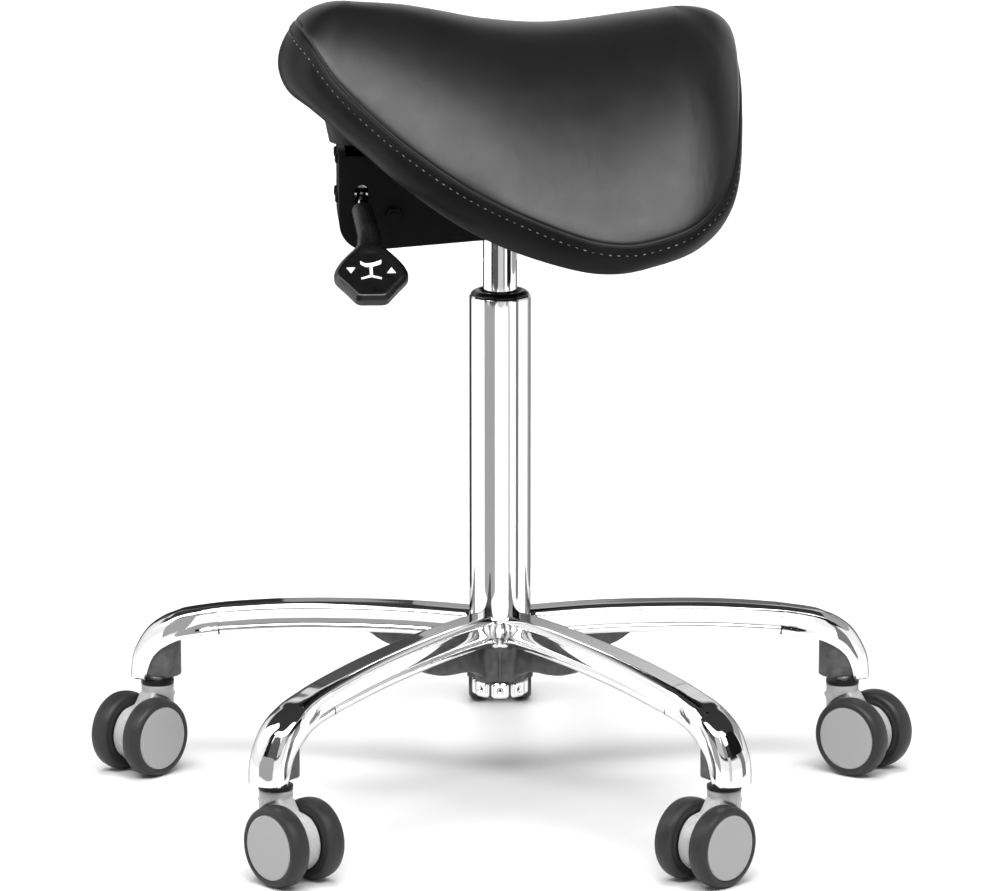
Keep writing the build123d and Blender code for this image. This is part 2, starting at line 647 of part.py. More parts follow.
for number, (name, trail_turn) in enumerate(CASTER_TURNS.items()):
    leg_turn = radians(BASE_TURN + 180 + number * 360 / LEG_COUNT)
    stem_place = Pos(STEM_CIRCLE * cos(leg_turn), STEM_CIRCLE * sin(leg_turn), 0)
    place = stem_place * Rot(0, 0, BASE_TURN + trail_turn)
    save(place * caster_body.part, f"caster_{name}_body")
    save(place * caster_axle.part, f"caster_{name}_axle")
    for side, flip in (("left", Rot(0, 0, 0)), ("right", Pos(2 * TRAIL, 0, 0) * Rot(0, 0, 180))):
        save(place * flip * wheel_core.part, f"caster_{name}_core_{side}")
        save(place * flip * wheel_tyre.part, f"caster_{name}_tyre_{side}")
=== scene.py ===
"""The looks of a saddle stool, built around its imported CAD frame.

Units are metres in the row frame: +Z up, the origin on the floor under the column's
axis, -Y the saddle's front and +X the side of the height lever.
"""

import itertools
import json
import math

import bmesh
import bpy
import numpy as np
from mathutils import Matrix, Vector

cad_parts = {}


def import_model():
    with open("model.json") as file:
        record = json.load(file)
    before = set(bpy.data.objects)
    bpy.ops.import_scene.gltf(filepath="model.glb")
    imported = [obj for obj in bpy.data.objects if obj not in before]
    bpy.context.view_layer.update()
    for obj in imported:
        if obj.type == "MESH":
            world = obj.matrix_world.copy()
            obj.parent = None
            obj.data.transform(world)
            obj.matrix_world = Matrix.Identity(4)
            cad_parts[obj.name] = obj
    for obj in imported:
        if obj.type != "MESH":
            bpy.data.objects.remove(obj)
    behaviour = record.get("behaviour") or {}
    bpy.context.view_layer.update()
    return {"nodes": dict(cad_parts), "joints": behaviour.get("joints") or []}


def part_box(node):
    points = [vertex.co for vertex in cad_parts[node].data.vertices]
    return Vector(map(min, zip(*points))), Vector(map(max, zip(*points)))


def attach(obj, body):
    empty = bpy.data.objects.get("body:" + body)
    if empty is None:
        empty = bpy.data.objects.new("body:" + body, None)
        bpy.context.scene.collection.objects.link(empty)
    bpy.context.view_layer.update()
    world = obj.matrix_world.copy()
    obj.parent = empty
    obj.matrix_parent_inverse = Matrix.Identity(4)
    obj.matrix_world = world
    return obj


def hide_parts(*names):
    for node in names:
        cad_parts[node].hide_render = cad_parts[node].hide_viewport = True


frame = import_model()
JOINTS = {joint["name"]: joint for joint in frame["joints"]}

MM = 0.001
METAL_EDGE = (0.25, 0.25, 0.25, 1.0)  # bright metal darkens where it turns away
CASTERS = ("right", "front_right", "front_left", "rear_left", "rear_right")


# ---------------------------------------------------------------- materials
def add_object(name, data):
    made = bpy.data.objects.new(name, data)
    bpy.context.scene.collection.objects.link(made)
    return made


def grey_ramp(nodes, links, factor, stops):
    """Grey over factor; stops are (position, grey)."""
    made = nodes.new("ShaderNodeValToRGB")
    while len(made.color_ramp.elements) < len(stops):
        made.color_ramp.elements.new(0.5)
    for element, (position, grey) in zip(made.color_ramp.elements, stops):
        element.position = position
        element.color = (grey, grey, grey, 1)
    links.new(factor, made.inputs["Fac"])
    return made.outputs["Color"]


class Finish:
    """One procedural material: a Principled shader with its colour, roughness and bump from nodes."""

    def __init__(self, name, **sockets):
        self.material = bpy.data.materials.new(name)
        self.material.use_nodes = True
        self.nodes = self.material.node_tree.nodes
        self.links = self.material.node_tree.links
        self.shader = self.nodes["Principled BSDF"]
        for socket, value in sockets.items():
            self.shader.inputs[socket.replace("_", " ")].default_value = value
        self.place = self.nodes.new("ShaderNodeTexCoord").outputs["Object"]
        self.normal = None

    def stretched(self, scale):
        """The place in the frame, stretched along each axis."""
        mapping = self.nodes.new("ShaderNodeMapping")
        mapping.inputs["Scale"].default_value = scale
        self.links.new(self.place, mapping.inputs["Vector"])
        return mapping.outputs["Vector"]

    def noise(self, scale, detail=3.0, distortion=0.0, place=None):
        texture = self.nodes.new("ShaderNodeTexNoise")
        texture.inputs["Scale"].default_value = scale
        texture.inputs["Detail"].default_value = detail
        texture.inputs["Distortion"].default_value = distortion
        self.links.new(place or self.place, texture.inputs["Vector"])
        return texture.outputs["Fac"]

    def cells(self, scale):
        texture = self.nodes.new("ShaderNodeTexVoronoi")
        texture.feature = "DISTANCE_TO_EDGE"
        texture.inputs["Scale"].default_value = scale
        self.links.new(self.place, texture.inputs["Vector"])
        return texture.outputs["Distance"]

    def colour(self, factor, stops):
        made = grey_ramp(self.nodes, self.links, factor, stops)
        self.links.new(made, self.shader.inputs["Base Color"])

    def roughness(self, factor, low, high):
        made = grey_ramp(self.nodes, self.links, factor, [(0.25, low), (0.75, high)])
        self.links.new(made, self.shader.inputs["Roughness"])

    def bump(self, height, strength, distance):
        made = self.nodes.new("ShaderNodeBump")
        made.inputs["Strength"].default_value = strength
        made.inputs["Distance"].default_value = distance
        self.links.new(height, made.inputs["Height"])
        if self.normal:
            self.links.new(self.normal, made.inputs["Normal"])
        self.normal = made.outputs["Normal"]
        self.links.new(self.normal, self.shader.inputs["Normal"])


def leather(name, shine):
    made = Finish(name, Specular_IOR_Level=shine)
    made.colour(made.noise(14, 4), [(0.3, 0.0040), (0.7, 0.0062)])
    made.roughness(made.noise(60, 5), 0.31, 0.38)
    made.bump(made.noise(22, 3, 1.2, made.stretched((1.0, 2.6, 1.0))), 0.10, 0.0025)
    made.bump(made.cells(950), 0.16, 0.0003)
    made.bump(made.noise(2600, 2), 0.10, 0.0001)
    return made.material


def thread():
    made = Finish("grey_thread", Roughness=0.55)
    made.colour(made.noise(160, 2), [(0.35, 0.03), (0.65, 0.20)])
    made.bump(made.noise(3000, 2), 0.4, 0.0002)
    return made.material


def white_print():
    made = Finish("white_print", Roughness=0.5)
    made.colour(made.noise(400, 3), [(0.3, 0.78), (0.7, 0.88)])
    return made.material


def plain_finish(name, colour, roughness, bump=None, **shader):
    """A finish in one tone: colour and roughness are (noise scale, detail, low, high), bump is
    (noise scale, detail, strength, distance)."""
    made = Finish(name, **shader)
    scale, detail, low, high = colour
    made.colour(made.noise(scale, detail), [(0.3, low), (0.7, high)])
    scale, detail, low, high = roughness
    made.roughness(made.noise(scale, detail), low, high)
    if bump:
        scale, detail, strength, distance = bump
        made.bump(made.noise(scale, detail), strength, distance)
    return made.material


LEATHER = leather("black_leather", 0.30)
SIDE_LEATHER = leather("black_side_leather", 0.10)
THREAD = thread()
POLISHED = plain_finish(
    "polished_aluminium", (9, 3, 0.86, 0.92), (35, 4, 0.035, 0.075), (18, 2, 0.06, 0.002),
    Metallic=1.0, Specular_Tint=METAL_EDGE,
)
CHROME = plain_finish(
    "chrome", (12, 3, 0.90, 0.94), (50, 4, 0.02, 0.05), Metallic=1.0, Specular_Tint=METAL_EDGE
)
# unpolished cast aluminium, its tone darkened far below raw metal as painted shade for the undersides,
# arches and recesses it covers
RAW_CAST_AND_PAINTED_SHADE = plain_finish(
    "raw_cast_aluminium_and_painted_shade", (120, 5, 0.062, 0.108), (70, 4, 0.42, 0.6), (700, 3, 0.25, 0.0004), Metallic=0.6
)
STEEL = plain_finish(
    "steel", (60, 4, 0.42, 0.52), (150, 4, 0.2, 0.34), (900, 2, 0.08, 0.0002), Metallic=1.0
)
BLACK_STEEL = plain_finish(
    "black_powder_coat", (80, 3, 0.0010, 0.0022), (90, 3, 0.42, 0.55), (1300, 2, 0.22, 0.0002),
    Specular_IOR_Level=0.1,
)
BLACK_PLASTIC = plain_finish(
    "black_plastic", (40, 3, 0.0025, 0.0045), (110, 4, 0.35, 0.45), (1500, 3, 0.12, 0.0002),
    Specular_IOR_Level=0.2,
)
CASTER_GREY = plain_finish(
    "light_grey_plastic", (9, 2, 0.29, 0.33), (80, 3, 0.22, 0.30), (900, 2, 0.03, 0.0001),
    Specular_IOR_Level=0.5,
)
CAP_GREY = plain_finish(
    "matt_grey_plastic", (9, 2, 0.260, 0.275), (80, 3, 0.40, 0.48), (900, 2, 0.03, 0.0001),
    Specular_IOR_Level=0.3,
)
TYRE_GREY = plain_finish(
    "grey_polyurethane", (60, 4, 0.013, 0.018), (120, 4, 0.40, 0.50), (1200, 3, 0.2, 0.0002),
    Specular_IOR_Level=0.3,
)
WHITE_PRINT = white_print()
LEVER_BLACK = plain_finish(
    "glossy_black_plastic", (40, 3, 0.0015, 0.0030), (90, 4, 0.24, 0.32), (900, 2, 0.04, 0.0002),
    Specular_IOR_Level=0.5,
)


# ---------------------------------------------------------------- mesh tools
def new_piece(name, points, faces, material, slot, body, nodes=()):
    """A smooth-shaded piece that rides on a body and stands for CAD nodes. The slot argument is not used."""
    mesh = bpy.data.meshes.new(name)
    mesh.from_pydata([tuple(p) for p in points], [], [tuple(f) for f in faces])
    mesh.validate()
    mesh.shade_smooth()
    mesh.materials.append(material)
    piece = add_object(name, mesh)
    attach(piece, body)
    if nodes:
        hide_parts(*nodes)
    return piece


def smooth_line(points, steps, closed=False):
    """A Catmull-Rom curve through points, with so many steps between each two."""
    points = np.asarray(points, float)
    if closed:
        padded = np.vstack([points[-1], points, points[:2]])
    else:
        padded = np.vstack([2 * points[0] - points[1], points, 2 * points[-1] - points[-2]])
    share = (np.arange(steps) / steps)[:, None]
    runs = []
    for before, start, end, after in zip(padded, padded[1:], padded[2:], padded[3:]):
        bend = 2 * before - 5 * start + 4 * end - after
        twist = 3 * (start - end) + after - before
        runs.append(start + 0.5 * share * (end - before + share * (bend + share * twist)))
    if not closed:
        runs.append(points[-1:])
    return np.vstack(runs)


def grid_faces(rows, columns):
    """Quads between rows of points, each row a closed loop; a point's index is row * columns + column."""
    faces = []
    for start in range(0, (rows - 1) * columns, columns):
        for column in range(columns):
            beside = (column + 1) % columns
            faces.append((
                start + column, start + beside, start + columns + beside, start + columns + column,
            ))
    return faces


def lathe(outline, centre, axis, segments=96):
    """Points and faces of an outline of (radius, distance along the axis) turned about an axis."""
    axis = Vector(axis).normalized()
    side = axis.orthogonal().normalized()
    up = axis.cross(side)
    points = []
    for radius, along in outline:
        for number in range(segments):
            turn = 2 * math.pi * number / segments
            reach = side * math.cos(turn) + up * math.sin(turn)
            points.append(Vector(centre) + axis * along + reach * radius)
    return points, grid_faces(len(outline), segments)


def rounded(corners, radius, steps=5):
    """An open outline with its inner corners rounded, by less where the runs are short."""
    corners = [np.array(c, float) for c in corners]
    line = [corners[0]]
    for before, corner, after in zip(corners, corners[1:], corners[2:]):
        back, ahead = before - corner, after - corner
        cut = min(radius, 0.45 * np.linalg.norm(back), 0.45 * np.linalg.norm(ahead))
        start = corner + back / np.linalg.norm(back) * cut
        end = corner + ahead / np.linalg.norm(ahead) * cut
        for number in range(steps + 1):
            s = number / steps
            line.append((1 - s) ** 2 * start + 2 * s * (1 - s) * corner + s * s * end)
    line.append(corners[-1])
    return line


def union(a, b, radius):
    """Smooth union of two distance fields, with a fillet of about that radius."""
    share = np.clip(0.5 + 0.5 * (b - a) / radius, 0, 1)
    return b + (a - b) * share - radius * share * (1 - share)


def overlap(a, b, radius):
    """Smooth intersection of two distance fields, with the edge rounded by about that radius."""
    return -union(-a, -b, radius)


def outline_distance(outline, a, b):
    """Signed distance of points (a, b) to a closed outline, below zero inside."""
    nearest = np.full(a.shape, 1e9)
    inside = np.zeros(a.shape, bool)
    for (a0, b0), (a1, b1) in zip(outline, np.roll(outline, -1, axis=0)):
        da, db = a1 - a0, b1 - b0
        along = np.clip(((a - a0) * da + (b - b0) * db) / max(da * da + db * db, 1e-12), 0, 1)
        nearest = np.minimum(nearest, (a - a0 - along * da) ** 2 + (b - b0 - along * db) ** 2)
        crosses = (b0 > b) != (b1 > b)
        inside ^= crosses & (a < da * (b - b0) / (db if abs(db) > 1e-12 else 1e-12) + a0)
    return np.where(inside, -1, 1) * np.sqrt(nearest)


def surface_of(field, low, high, step):
    """Points and quads of the surface where a distance field is zero: one point in each grid cell
    that the surface crosses, then moved onto the surface along the field's slope."""
    low = np.asarray(low, float)
    counts = np.ceil((np.asarray(high) - low) / step).astype(int) + 1
    lines = [low[axis] + step * np.arange(counts[axis]) for axis in range(3)]
    values = field(*np.meshgrid(*lines, indexing="ij"))
    inside = values < 0
    corners = list(itertools.product((0, 1), repeat=3))
    full = sum(
        inside[i:counts[0] - 1 + i, j:counts[1] - 1 + j, k:counts[2] - 1 + k].astype(int)
        for i, j, k in corners
    )
    cells = np.argwhere((full > 0) & (full < 8))
    number = np.full(counts - 1, -1)
    number[tuple(cells.T)] = np.arange(len(cells))
    total, hits = np.zeros((len(cells), 3)), np.zeros(len(cells))
    for axis, start in itertools.product(range(3), corners):
        if start[axis]:
            continue
        first = cells + start
        last = first + np.eye(3, dtype=int)[axis]
        value_a, value_b = values[tuple(first.T)], values[tuple(last.T)]
        crosses = (value_a < 0) != (value_b < 0)
        along = np.where(crosses, value_a / np.where(crosses, value_a - value_b, 1), 0)
        total += np.where(crosses[:, None], first + along[:, None] * np.eye(3)[axis], 0)
        hits += crosses
    points = low + step * total / hits[:, None]
    points = onto_surface(field, points, step)
    faces = []
    for axis in range(3):
        u, v = (axis + 1) % 3, (axis + 2) % 3
        below = np.moveaxis(inside, axis, 0)[:-1]
        above = np.moveaxis(inside, axis, 0)[1:]
        edges = np.argwhere(np.moveaxis(below != above, 0, axis))
        edges = edges[(edges[:, u] > 0) & (edges[:, v] > 0)]
        edges = edges[(edges[:, u] < counts[u] - 1) & (edges[:, v] < counts[v] - 1)]
        quad = []
        for du, dv in ((-1, -1), (0, -1), (0, 0), (-1, 0)):
            cell = edges.copy()
            cell[:, u] += du
            cell[:, v] += dv
            quad.append(number[tuple(cell.T)])
        quad = np.stack(quad, 1)
        outward = inside[tuple(edges.T)]
        faces += [row if keep else row[::-1] for row, keep in zip(quad.tolist(), outward)]
    return points, faces


def onto_surface(field, points, step, rounds=4):
    """Move points onto the surface where the field is zero, at most one grid step in all."""
    start = points.copy()
    small = 0.05 * step
    for _ in range(rounds):
        value = field(*points.T)
        slope = np.stack(
            [(field(*(points + small * e).T) - field(*(points - small * e).T)) / (2 * small)
             for e in np.eye(3)],
            axis=1,
        )
        points = points - slope * (value / np.maximum((slope ** 2).sum(1), 0.1))[:, None]
        points = start + np.clip(points - start, -step, step)
    return points


# ---------------------------------------------------------------- saddle seat
# half of the seat's edge from the pommel's tip round the left side to the back:
# the seam under the top panel, the fullest line of the side band, and the band's lower edge
SEAM = [
    (0.000, -0.1640, 0.6450), (0.026, -0.1600, 0.6410), (0.045, -0.1510, 0.6310),
    (0.062, -0.1340, 0.6070), (0.080, -0.1110, 0.5850), (0.100, -0.0830, 0.5630),
    (0.125, -0.0400, 0.5350), (0.150, 0.0000, 0.5165), (0.170, 0.0470, 0.5000),
    (0.178, 0.0780, 0.4935), (0.175, 0.1090, 0.4945), (0.160, 0.1490, 0.5070),
    (0.125, 0.1770, 0.5360), (0.068, 0.1875, 0.5830), (0.000, 0.1900, 0.6120),
]
BELLY = [
    (0.000, -0.1780, 0.6180), (0.027, -0.1735, 0.6130), (0.049, -0.1600, 0.6040),
    (0.067, -0.1380, 0.5850), (0.084, -0.1130, 0.5650), (0.103, -0.0850, 0.5440),
    (0.127, -0.0420, 0.5180), (0.151, -0.0010, 0.5005), (0.171, 0.0460, 0.4855),
    (0.179, 0.0780, 0.4805), (0.176, 0.1100, 0.4830), (0.161, 0.1510, 0.4970),
    (0.126, 0.1800, 0.5230), (0.068, 0.1900, 0.5660), (0.000, 0.1920, 0.5920),
]
BAND_EDGE = [
    (0.000, -0.1735, 0.5930), (0.022, -0.1680, 0.5885), (0.042, -0.1540, 0.5810),
    (0.060, -0.1330, 0.5660), (0.077, -0.1100, 0.5490), (0.096, -0.0830, 0.5275),
    (0.119, -0.0430, 0.5020), (0.143, -0.0030, 0.4850), (0.163, 0.0440, 0.4725),
    (0.171, 0.0770, 0.4690), (0.168, 0.1080, 0.4730), (0.153, 0.1480, 0.4850),
    (0.118, 0.1765, 0.5080), (0.062, 0.1870, 0.5460), (0.000, 0.1890, 0.5680),
]
# the ridge between the pommel and the back, as (y, height)
RIDGE = [
    (-0.120, 0.6600), (-0.081, 0.6575), (-0.049, 0.6525), (-0.017, 0.6465), (0.024, 0.6425),
    (0.056, 0.6435), (0.096, 0.6485), (0.140, 0.6540),
]
SIDE_POWER = 1.9  # how the top falls from the ridge to the seam at the sides
POMMEL_POWER = 2.6  # and from the ridge to the pommel's tip
BACK_POWER = 2.6  # at the back it turns over like a rounded square
EDGE_PUFF = 0.0019  # the foam stands proud of the seam by this much
SHELL_DEPTH = 0.0368  # the shell's top lies this far under the seat's top
MARGIN_DEPTH = 0.0462  # the leather's turned-in margin passes this far under the top
MARGIN_SHARE = 0.87
COVER_GAP = 0.0004  # between the cover's inside and the shell
BAND_HOLD = 0.6  # how firmly the side band is held while the cover swells
SWELL_LIMIT = 0.001
SWELL_FRAMES = 20
PAN_SHARE = 0.85  # the shell ends inside the leather's margin
PAN_THICKNESS = 0.0077
# across the seam, in mm down the band and out from it: the groove, the felled strip and its lower step
FELLED_STRIP = [
    (0.0, -0.9), (0.4, 0.0), (0.9, 0.7), (1.9, 0.9), (3.5, 0.7), (5.1, 0.95), (6.0, 0.8), (6.5, -0.2),
    (7.2, -0.25), (8.6, 0.0),
]
STITCH_DROP = 8.0
STITCH_PITCH = 0.0068
STITCH_LENGTH = 0.0028
STITCH_RADIUS = 0.00042
STITCH_PROUD = 0.00015
STITCH_SHAPE = (0.25, 0.85, 1.0, 0.85, 0.25)  # thickness along a stitch
SEAT_STEPS = 10


def around(half, steps):
    """A closed curve round the seat from its left half, mirrored to the right."""
    mirrored = [(-x, y, z) for x, y, z in half[-2:0:-1]]
    return smooth_line(list(half) + mirrored, steps, closed=True)


def top_point(seam, share):
    """Points of the seat's top on the rays from the ridge to the seam, at a share of each ray."""
    y_spine = np.clip(seam[:, 1], RIDGE[0][0], RIDGE[-1][0])
    ridge = smooth_line(RIDGE, 12)
    crest = np.interp(y_spine, ridge[:, 0], ridge[:, 1])
    dx, dy = seam[:, 0], seam[:, 1] - y_spine
    length = np.hypot(dx, dy)
    endness = (dy / length) ** 2
    at_side = share ** SIDE_POWER
    at_back = 1 - (1 - share ** BACK_POWER) ** (1 / BACK_POWER)
    at_end = np.where(dy > 0, at_back, share ** POMMEL_POWER)
    height = seam[:, 2] + (crest - seam[:, 2]) * (1 - at_side - (at_end - at_side) * endness)
    from_seam = (1 - share) * length
    height = height + EDGE_PUFF * (1 - np.exp(-from_seam / 0.0011)) * np.exp(-from_seam / 0.05)
    return np.stack([share * dx, y_spine + share * dy, height], axis=1)


def band_point(seam, belly, edge, share):
    """Points down the side band, from the seam to its lower edge."""
    pull = 2 * belly - 0.5 * seam - 0.5 * edge
    return (1 - share) ** 2 * seam + 2 * share * (1 - share) * pull + share ** 2 * edge


def band_frame(seam, belly, edge, share):
    """Points on the side band with the directions down it and out from it."""
    here = band_point(seam, belly, edge, share)
    down = band_point(seam, belly, edge, share + 0.02) - here
    down /= np.linalg.norm(down, axis=1, keepdims=True)
    along = np.roll(here, -1, axis=0) - np.roll(here, 1, axis=0)
    out = np.cross(along, down)
    out /= np.linalg.norm(out, axis=1, keepdims=True)
    widest = here[:, 0].argmax()
    return here, down, out * np.sign(out[widest, 0])


def lowered(points, depth):
    return points - np.array([0, 0, depth])


def mixed(a, b, share):
    return a + (b - a) * share


def hold(piece, held):
    """Keep in a vertex group how firmly each point is held, from 0 to 1."""
    group = piece.vertex_groups.new(name="held")
    for index in np.flatnonzero(held > 0):
        group.add([int(index)], float(held[index]), "REPLACE")


def swell(piece, limit):
    """Blow the cover up a little as cloth over foam, with its held points kept, and keep the result."""
    start = np.array([v.co for v in piece.data.vertices])
    held = np.array([sum(entry.weight for entry in v.groups) for v in piece.data.vertices])
    cloth = piece.modifiers.new("cover", "CLOTH").settings
    cloth.quality = 6
    cloth.mass = 0.3
    cloth.tension_stiffness = 40
    cloth.compression_stiffness = 40
    cloth.shear_stiffness = 20
    cloth.bending_stiffness = 8
    cloth.use_pressure = True
    cloth.uniform_pressure_force = 1.2
    cloth.vertex_group_mass = "held"
    cloth.effector_weights.gravity = 0
    scene = bpy.context.scene
    for number in range(1, SWELL_FRAMES + 1):
        scene.frame_set(number)
    evaluated = piece.evaluated_get(bpy.context.evaluated_depsgraph_get())
    moved = np.array([v.co for v in evaluated.data.vertices]) - start
    piece.modifiers.clear()
    scene.frame_set(1)
    length = np.linalg.norm(moved, axis=1, keepdims=True)
    moved *= limit * np.tanh(length / limit) / np.maximum(length, 1e-9)
    moved *= (1 - held)[:, None]
    piece.data.vertices.foreach_set("co", (start + moved).astype(np.float32).ravel())
    piece.data.update()


def cover_rings(seam, belly, edge):
    """The cover as rings of points, with how firmly each ring is held: the top panel from the ridge
    out, the groove and felled strip at the seam, the band, the margin and the inside."""
    ray = np.hypot(seam[:, 0], seam[:, 1] - np.clip(seam[:, 1], RIDGE[0][0], RIDGE[-1][0]))
    depth = np.linalg.norm(belly - seam, axis=1) + np.linalg.norm(edge - belly, axis=1)
    top = []
    for share in np.linspace(0.0, 0.965, 34) ** 0.9:
        top.append((top_point(seam, np.full(len(seam), share)), max(0.0, (share - 0.75) / 0.25) ** 2))
    for from_seam in (1.5, 0.8, 0.35):
        top.append((top_point(seam, 1 - from_seam * MM / ray), 1.0))
    side = []
    for drop, rise in FELLED_STRIP:
        here, _, out = band_frame(seam, belly, edge, (drop * MM / depth)[:, None])
        side.append((here + out * rise * MM, 1.0))
    strip_end = FELLED_STRIP[-1][0] * MM / depth
    for share in (0.07, 0.18, 0.3, 0.42, 0.55, 0.68, 0.8, 0.9, 0.965):
        down_band = strip_end + (1 - strip_end) * share
        side.append((band_point(seam, belly, edge, down_band[:, None]), BAND_HOLD))
    side.append((edge, 1.0))
    margin = lowered(top_point(seam, np.full(len(seam), MARGIN_SHARE)), MARGIN_DEPTH)
    for share, sink in ((0.03, 0.0009), (0.12, 0.0022), (0.3, 0.0028), (0.6, 0.0014), (1.0, 0.0)):
        side.append((lowered(mixed(edge, margin, share), sink), 1.0))
    for share in (MARGIN_SHARE - 0.01, 0.7, 0.45, 0.2, 0.0):
        side.append((lowered(top_point(seam, np.full(len(seam), share)), SHELL_DEPTH - COVER_GAP), 1.0))
    return top, side


def seat_cover():
    """The leather cover, its side band in a duller finish than its top panel."""
    seam, belly, edge = (around(half, SEAT_STEPS) for half in (SEAM, BELLY, BAND_EDGE))
    top, side = cover_rings(seam, belly, edge)
    points, held = zip(*(top + side))
    faces = grid_faces(len(points), len(seam))
    cover = new_piece("seat_cover", np.vstack(points), faces, LEATHER, "leather", "seat", ["seat_cushion"])
    cover.data.materials.append(SIDE_LEATHER)
    for polygon in cover.data.polygons:
        polygon.material_index = int(min(polygon.vertices) // len(seam) > len(top) + 1)
    hold(cover, np.repeat(held, len(seam)))
    merge_close(cover)
    swell(cover, SWELL_LIMIT)


def merge_close(piece):
    """Join points that lie on each other, and turn all faces outward."""
    made = bmesh.new()
    made.from_mesh(piece.data)
    bmesh.ops.remove_doubles(made, verts=made.verts, dist=0.02 * MM)
    bmesh.ops.recalc_face_normals(made, faces=made.faces)
    made.to_mesh(piece.data)
    made.free()
    piece.data.shade_smooth()


def seat_stitches():
    """Short threads all round the band just under the felled strip, each a thin capsule."""
    seam, belly, edge = (around(half, 4 * SEAT_STEPS) for half in (SEAM, BELLY, BAND_EDGE))
    depth = np.linalg.norm(belly - seam, axis=1) + np.linalg.norm(edge - belly, axis=1)
    line, down, out = band_frame(seam, belly, edge, (STITCH_DROP * MM / depth)[:, None])
    looped = [np.vstack([part, part[:1]]) for part in (line + out * STITCH_PROUD, down, out)]
    reach = np.linalg.norm(np.diff(looped[0], axis=0), axis=1)
    distance = np.concatenate([[0], np.cumsum(reach)])
    rows, sides = len(STITCH_SHAPE), 6
    points, faces = [], []
    for number in range(int(distance[-1] / STITCH_PITCH)):
        along = number * STITCH_PITCH + STITCH_LENGTH * np.linspace(-0.5, 0.5, rows)
        centre, side, up = (
            np.stack([np.interp(along % distance[-1], distance, part[:, a]) for a in range(3)], 1)
            for part in looped
        )
        first = len(points)
        for step, thick in enumerate(STITCH_SHAPE):
            middle = centre[step] + up[step] * STITCH_RADIUS * 1.6 * (thick - 1.0)
            for turn in np.arange(sides) * 2 * math.pi / sides:
                arm = up[step] * math.cos(turn) + side[step] * math.sin(turn)
                points.append(middle + arm * thick * STITCH_RADIUS)
        faces += [tuple(first + i for i in face) for face in grid_faces(rows, sides)]
        faces.append(tuple(first + i for i in range(sides)))
        faces.append(tuple(first + (rows - 1) * sides + i for i in reversed(range(sides))))
    piece = new_piece("seat_stitches", points, faces, THREAD, "leather", "seat")
    merge_close(piece)


def seat_pan():
    """The moulded shell under the foam, with a rounded rim."""
    seam = around(SEAM, SEAT_STEPS)
    inner, rim = (0.0, 0.2, 0.45, 0.7, PAN_SHARE - 0.02), PAN_THICKNESS * 0.2
    outline = [(share, 0.0) for share in inner]
    outline += [(PAN_SHARE, rim), (PAN_SHARE, PAN_THICKNESS - rim)]
    outline += [(share, PAN_THICKNESS) for share in reversed(inner)]
    rings = [
        lowered(top_point(seam, np.full(len(seam), share)), SHELL_DEPTH + depth) for share, depth in outline
    ]
    faces = grid_faces(len(rings), len(seam))
    points = np.vstack(rings)
    pan = new_piece("seat_pan", points, faces, BLACK_PLASTIC, "black_plastic", "seat", ["seat_shell"])
    merge_close(pan)


seat_cover()
seat_stitches()
seat_pan()


# ---------------------------------------------------------------- height lever's handle
LEVER_ELBOW = Vector((0.052, -0.113, 0.508))
LEVER_SLOPE = math.radians(33)
PADDLE_SHIFT = 0.0045  # the paddle sits a little behind the rod
PADDLE_HALF_THICK = 0.0062
PADDLE_BEVEL = 0.0035
# half of the paddle's outline: along the slope and across it
PADDLE_SIDE = [
    (0.0560, 0.0105), (0.0680, 0.0200), (0.0780, 0.0262), (0.0850, 0.0290), (0.0900, 0.0294),
    (0.0950, 0.0280), (0.1040, 0.0215), (0.1130, 0.0152), (0.1165, 0.0125), (0.1180, 0.0090),
]
# the neck that holds the paddle: along the slope, half width and half thickness
NECK_LINE = [(0.010, 0.0086, 0.0086), (0.036, 0.0092, 0.0080), (0.066, 0.0112, 0.0062)]
HANDLE_EDGE = 0.001
HANDLE_FILLET = 0.003
SYMBOL_SINK = 0.0003
SYMBOL_RISE = 0.00035


def lever_place(along, across, above):
    """A place in the frame from one in the lever's sloping plane."""
    down_slope = Vector((math.cos(LEVER_SLOPE), 0, -math.sin(LEVER_SLOPE)))
    away = Vector((math.sin(LEVER_SLOPE), 0, math.cos(LEVER_SLOPE)))
    return LEVER_ELBOW + down_slope * along + Vector((0, across, 0)) + away * above


def handle_field(along, across, above):
    """The paddle, a bevelled plate with a rounded outline, and the neck it hangs from."""
    side = smooth_line(PADDLE_SIDE, 5)
    outline = np.vstack([side, (side * [1, -1])[::-1]])
    edge = outline_distance(outline, along, across - PADDLE_SHIFT)
    face = np.abs(above) - PADDLE_HALF_THICK
    bevel = (edge + face + PADDLE_BEVEL) * math.sqrt(0.5)
    paddle = overlap(overlap(edge, face, HANDLE_EDGE), bevel, HANDLE_EDGE)
    line = np.array(NECK_LINE)
    start, _, end = line[:, 0]
    half_width = np.interp(along, line[:, 0], line[:, 1])
    half_thick = np.interp(along, line[:, 0], line[:, 2])
    shift = PADDLE_SHIFT * np.clip((along - 0.012) / 0.03, 0, 1)
    neck = (np.hypot((across - shift) / half_width, above / half_thick) - 1) * half_thick
    neck = overlap(neck, np.abs(along - (start + end) / 2) - (end - start) / 2, HANDLE_FILLET)
    return union(paddle, neck, HANDLE_FILLET)


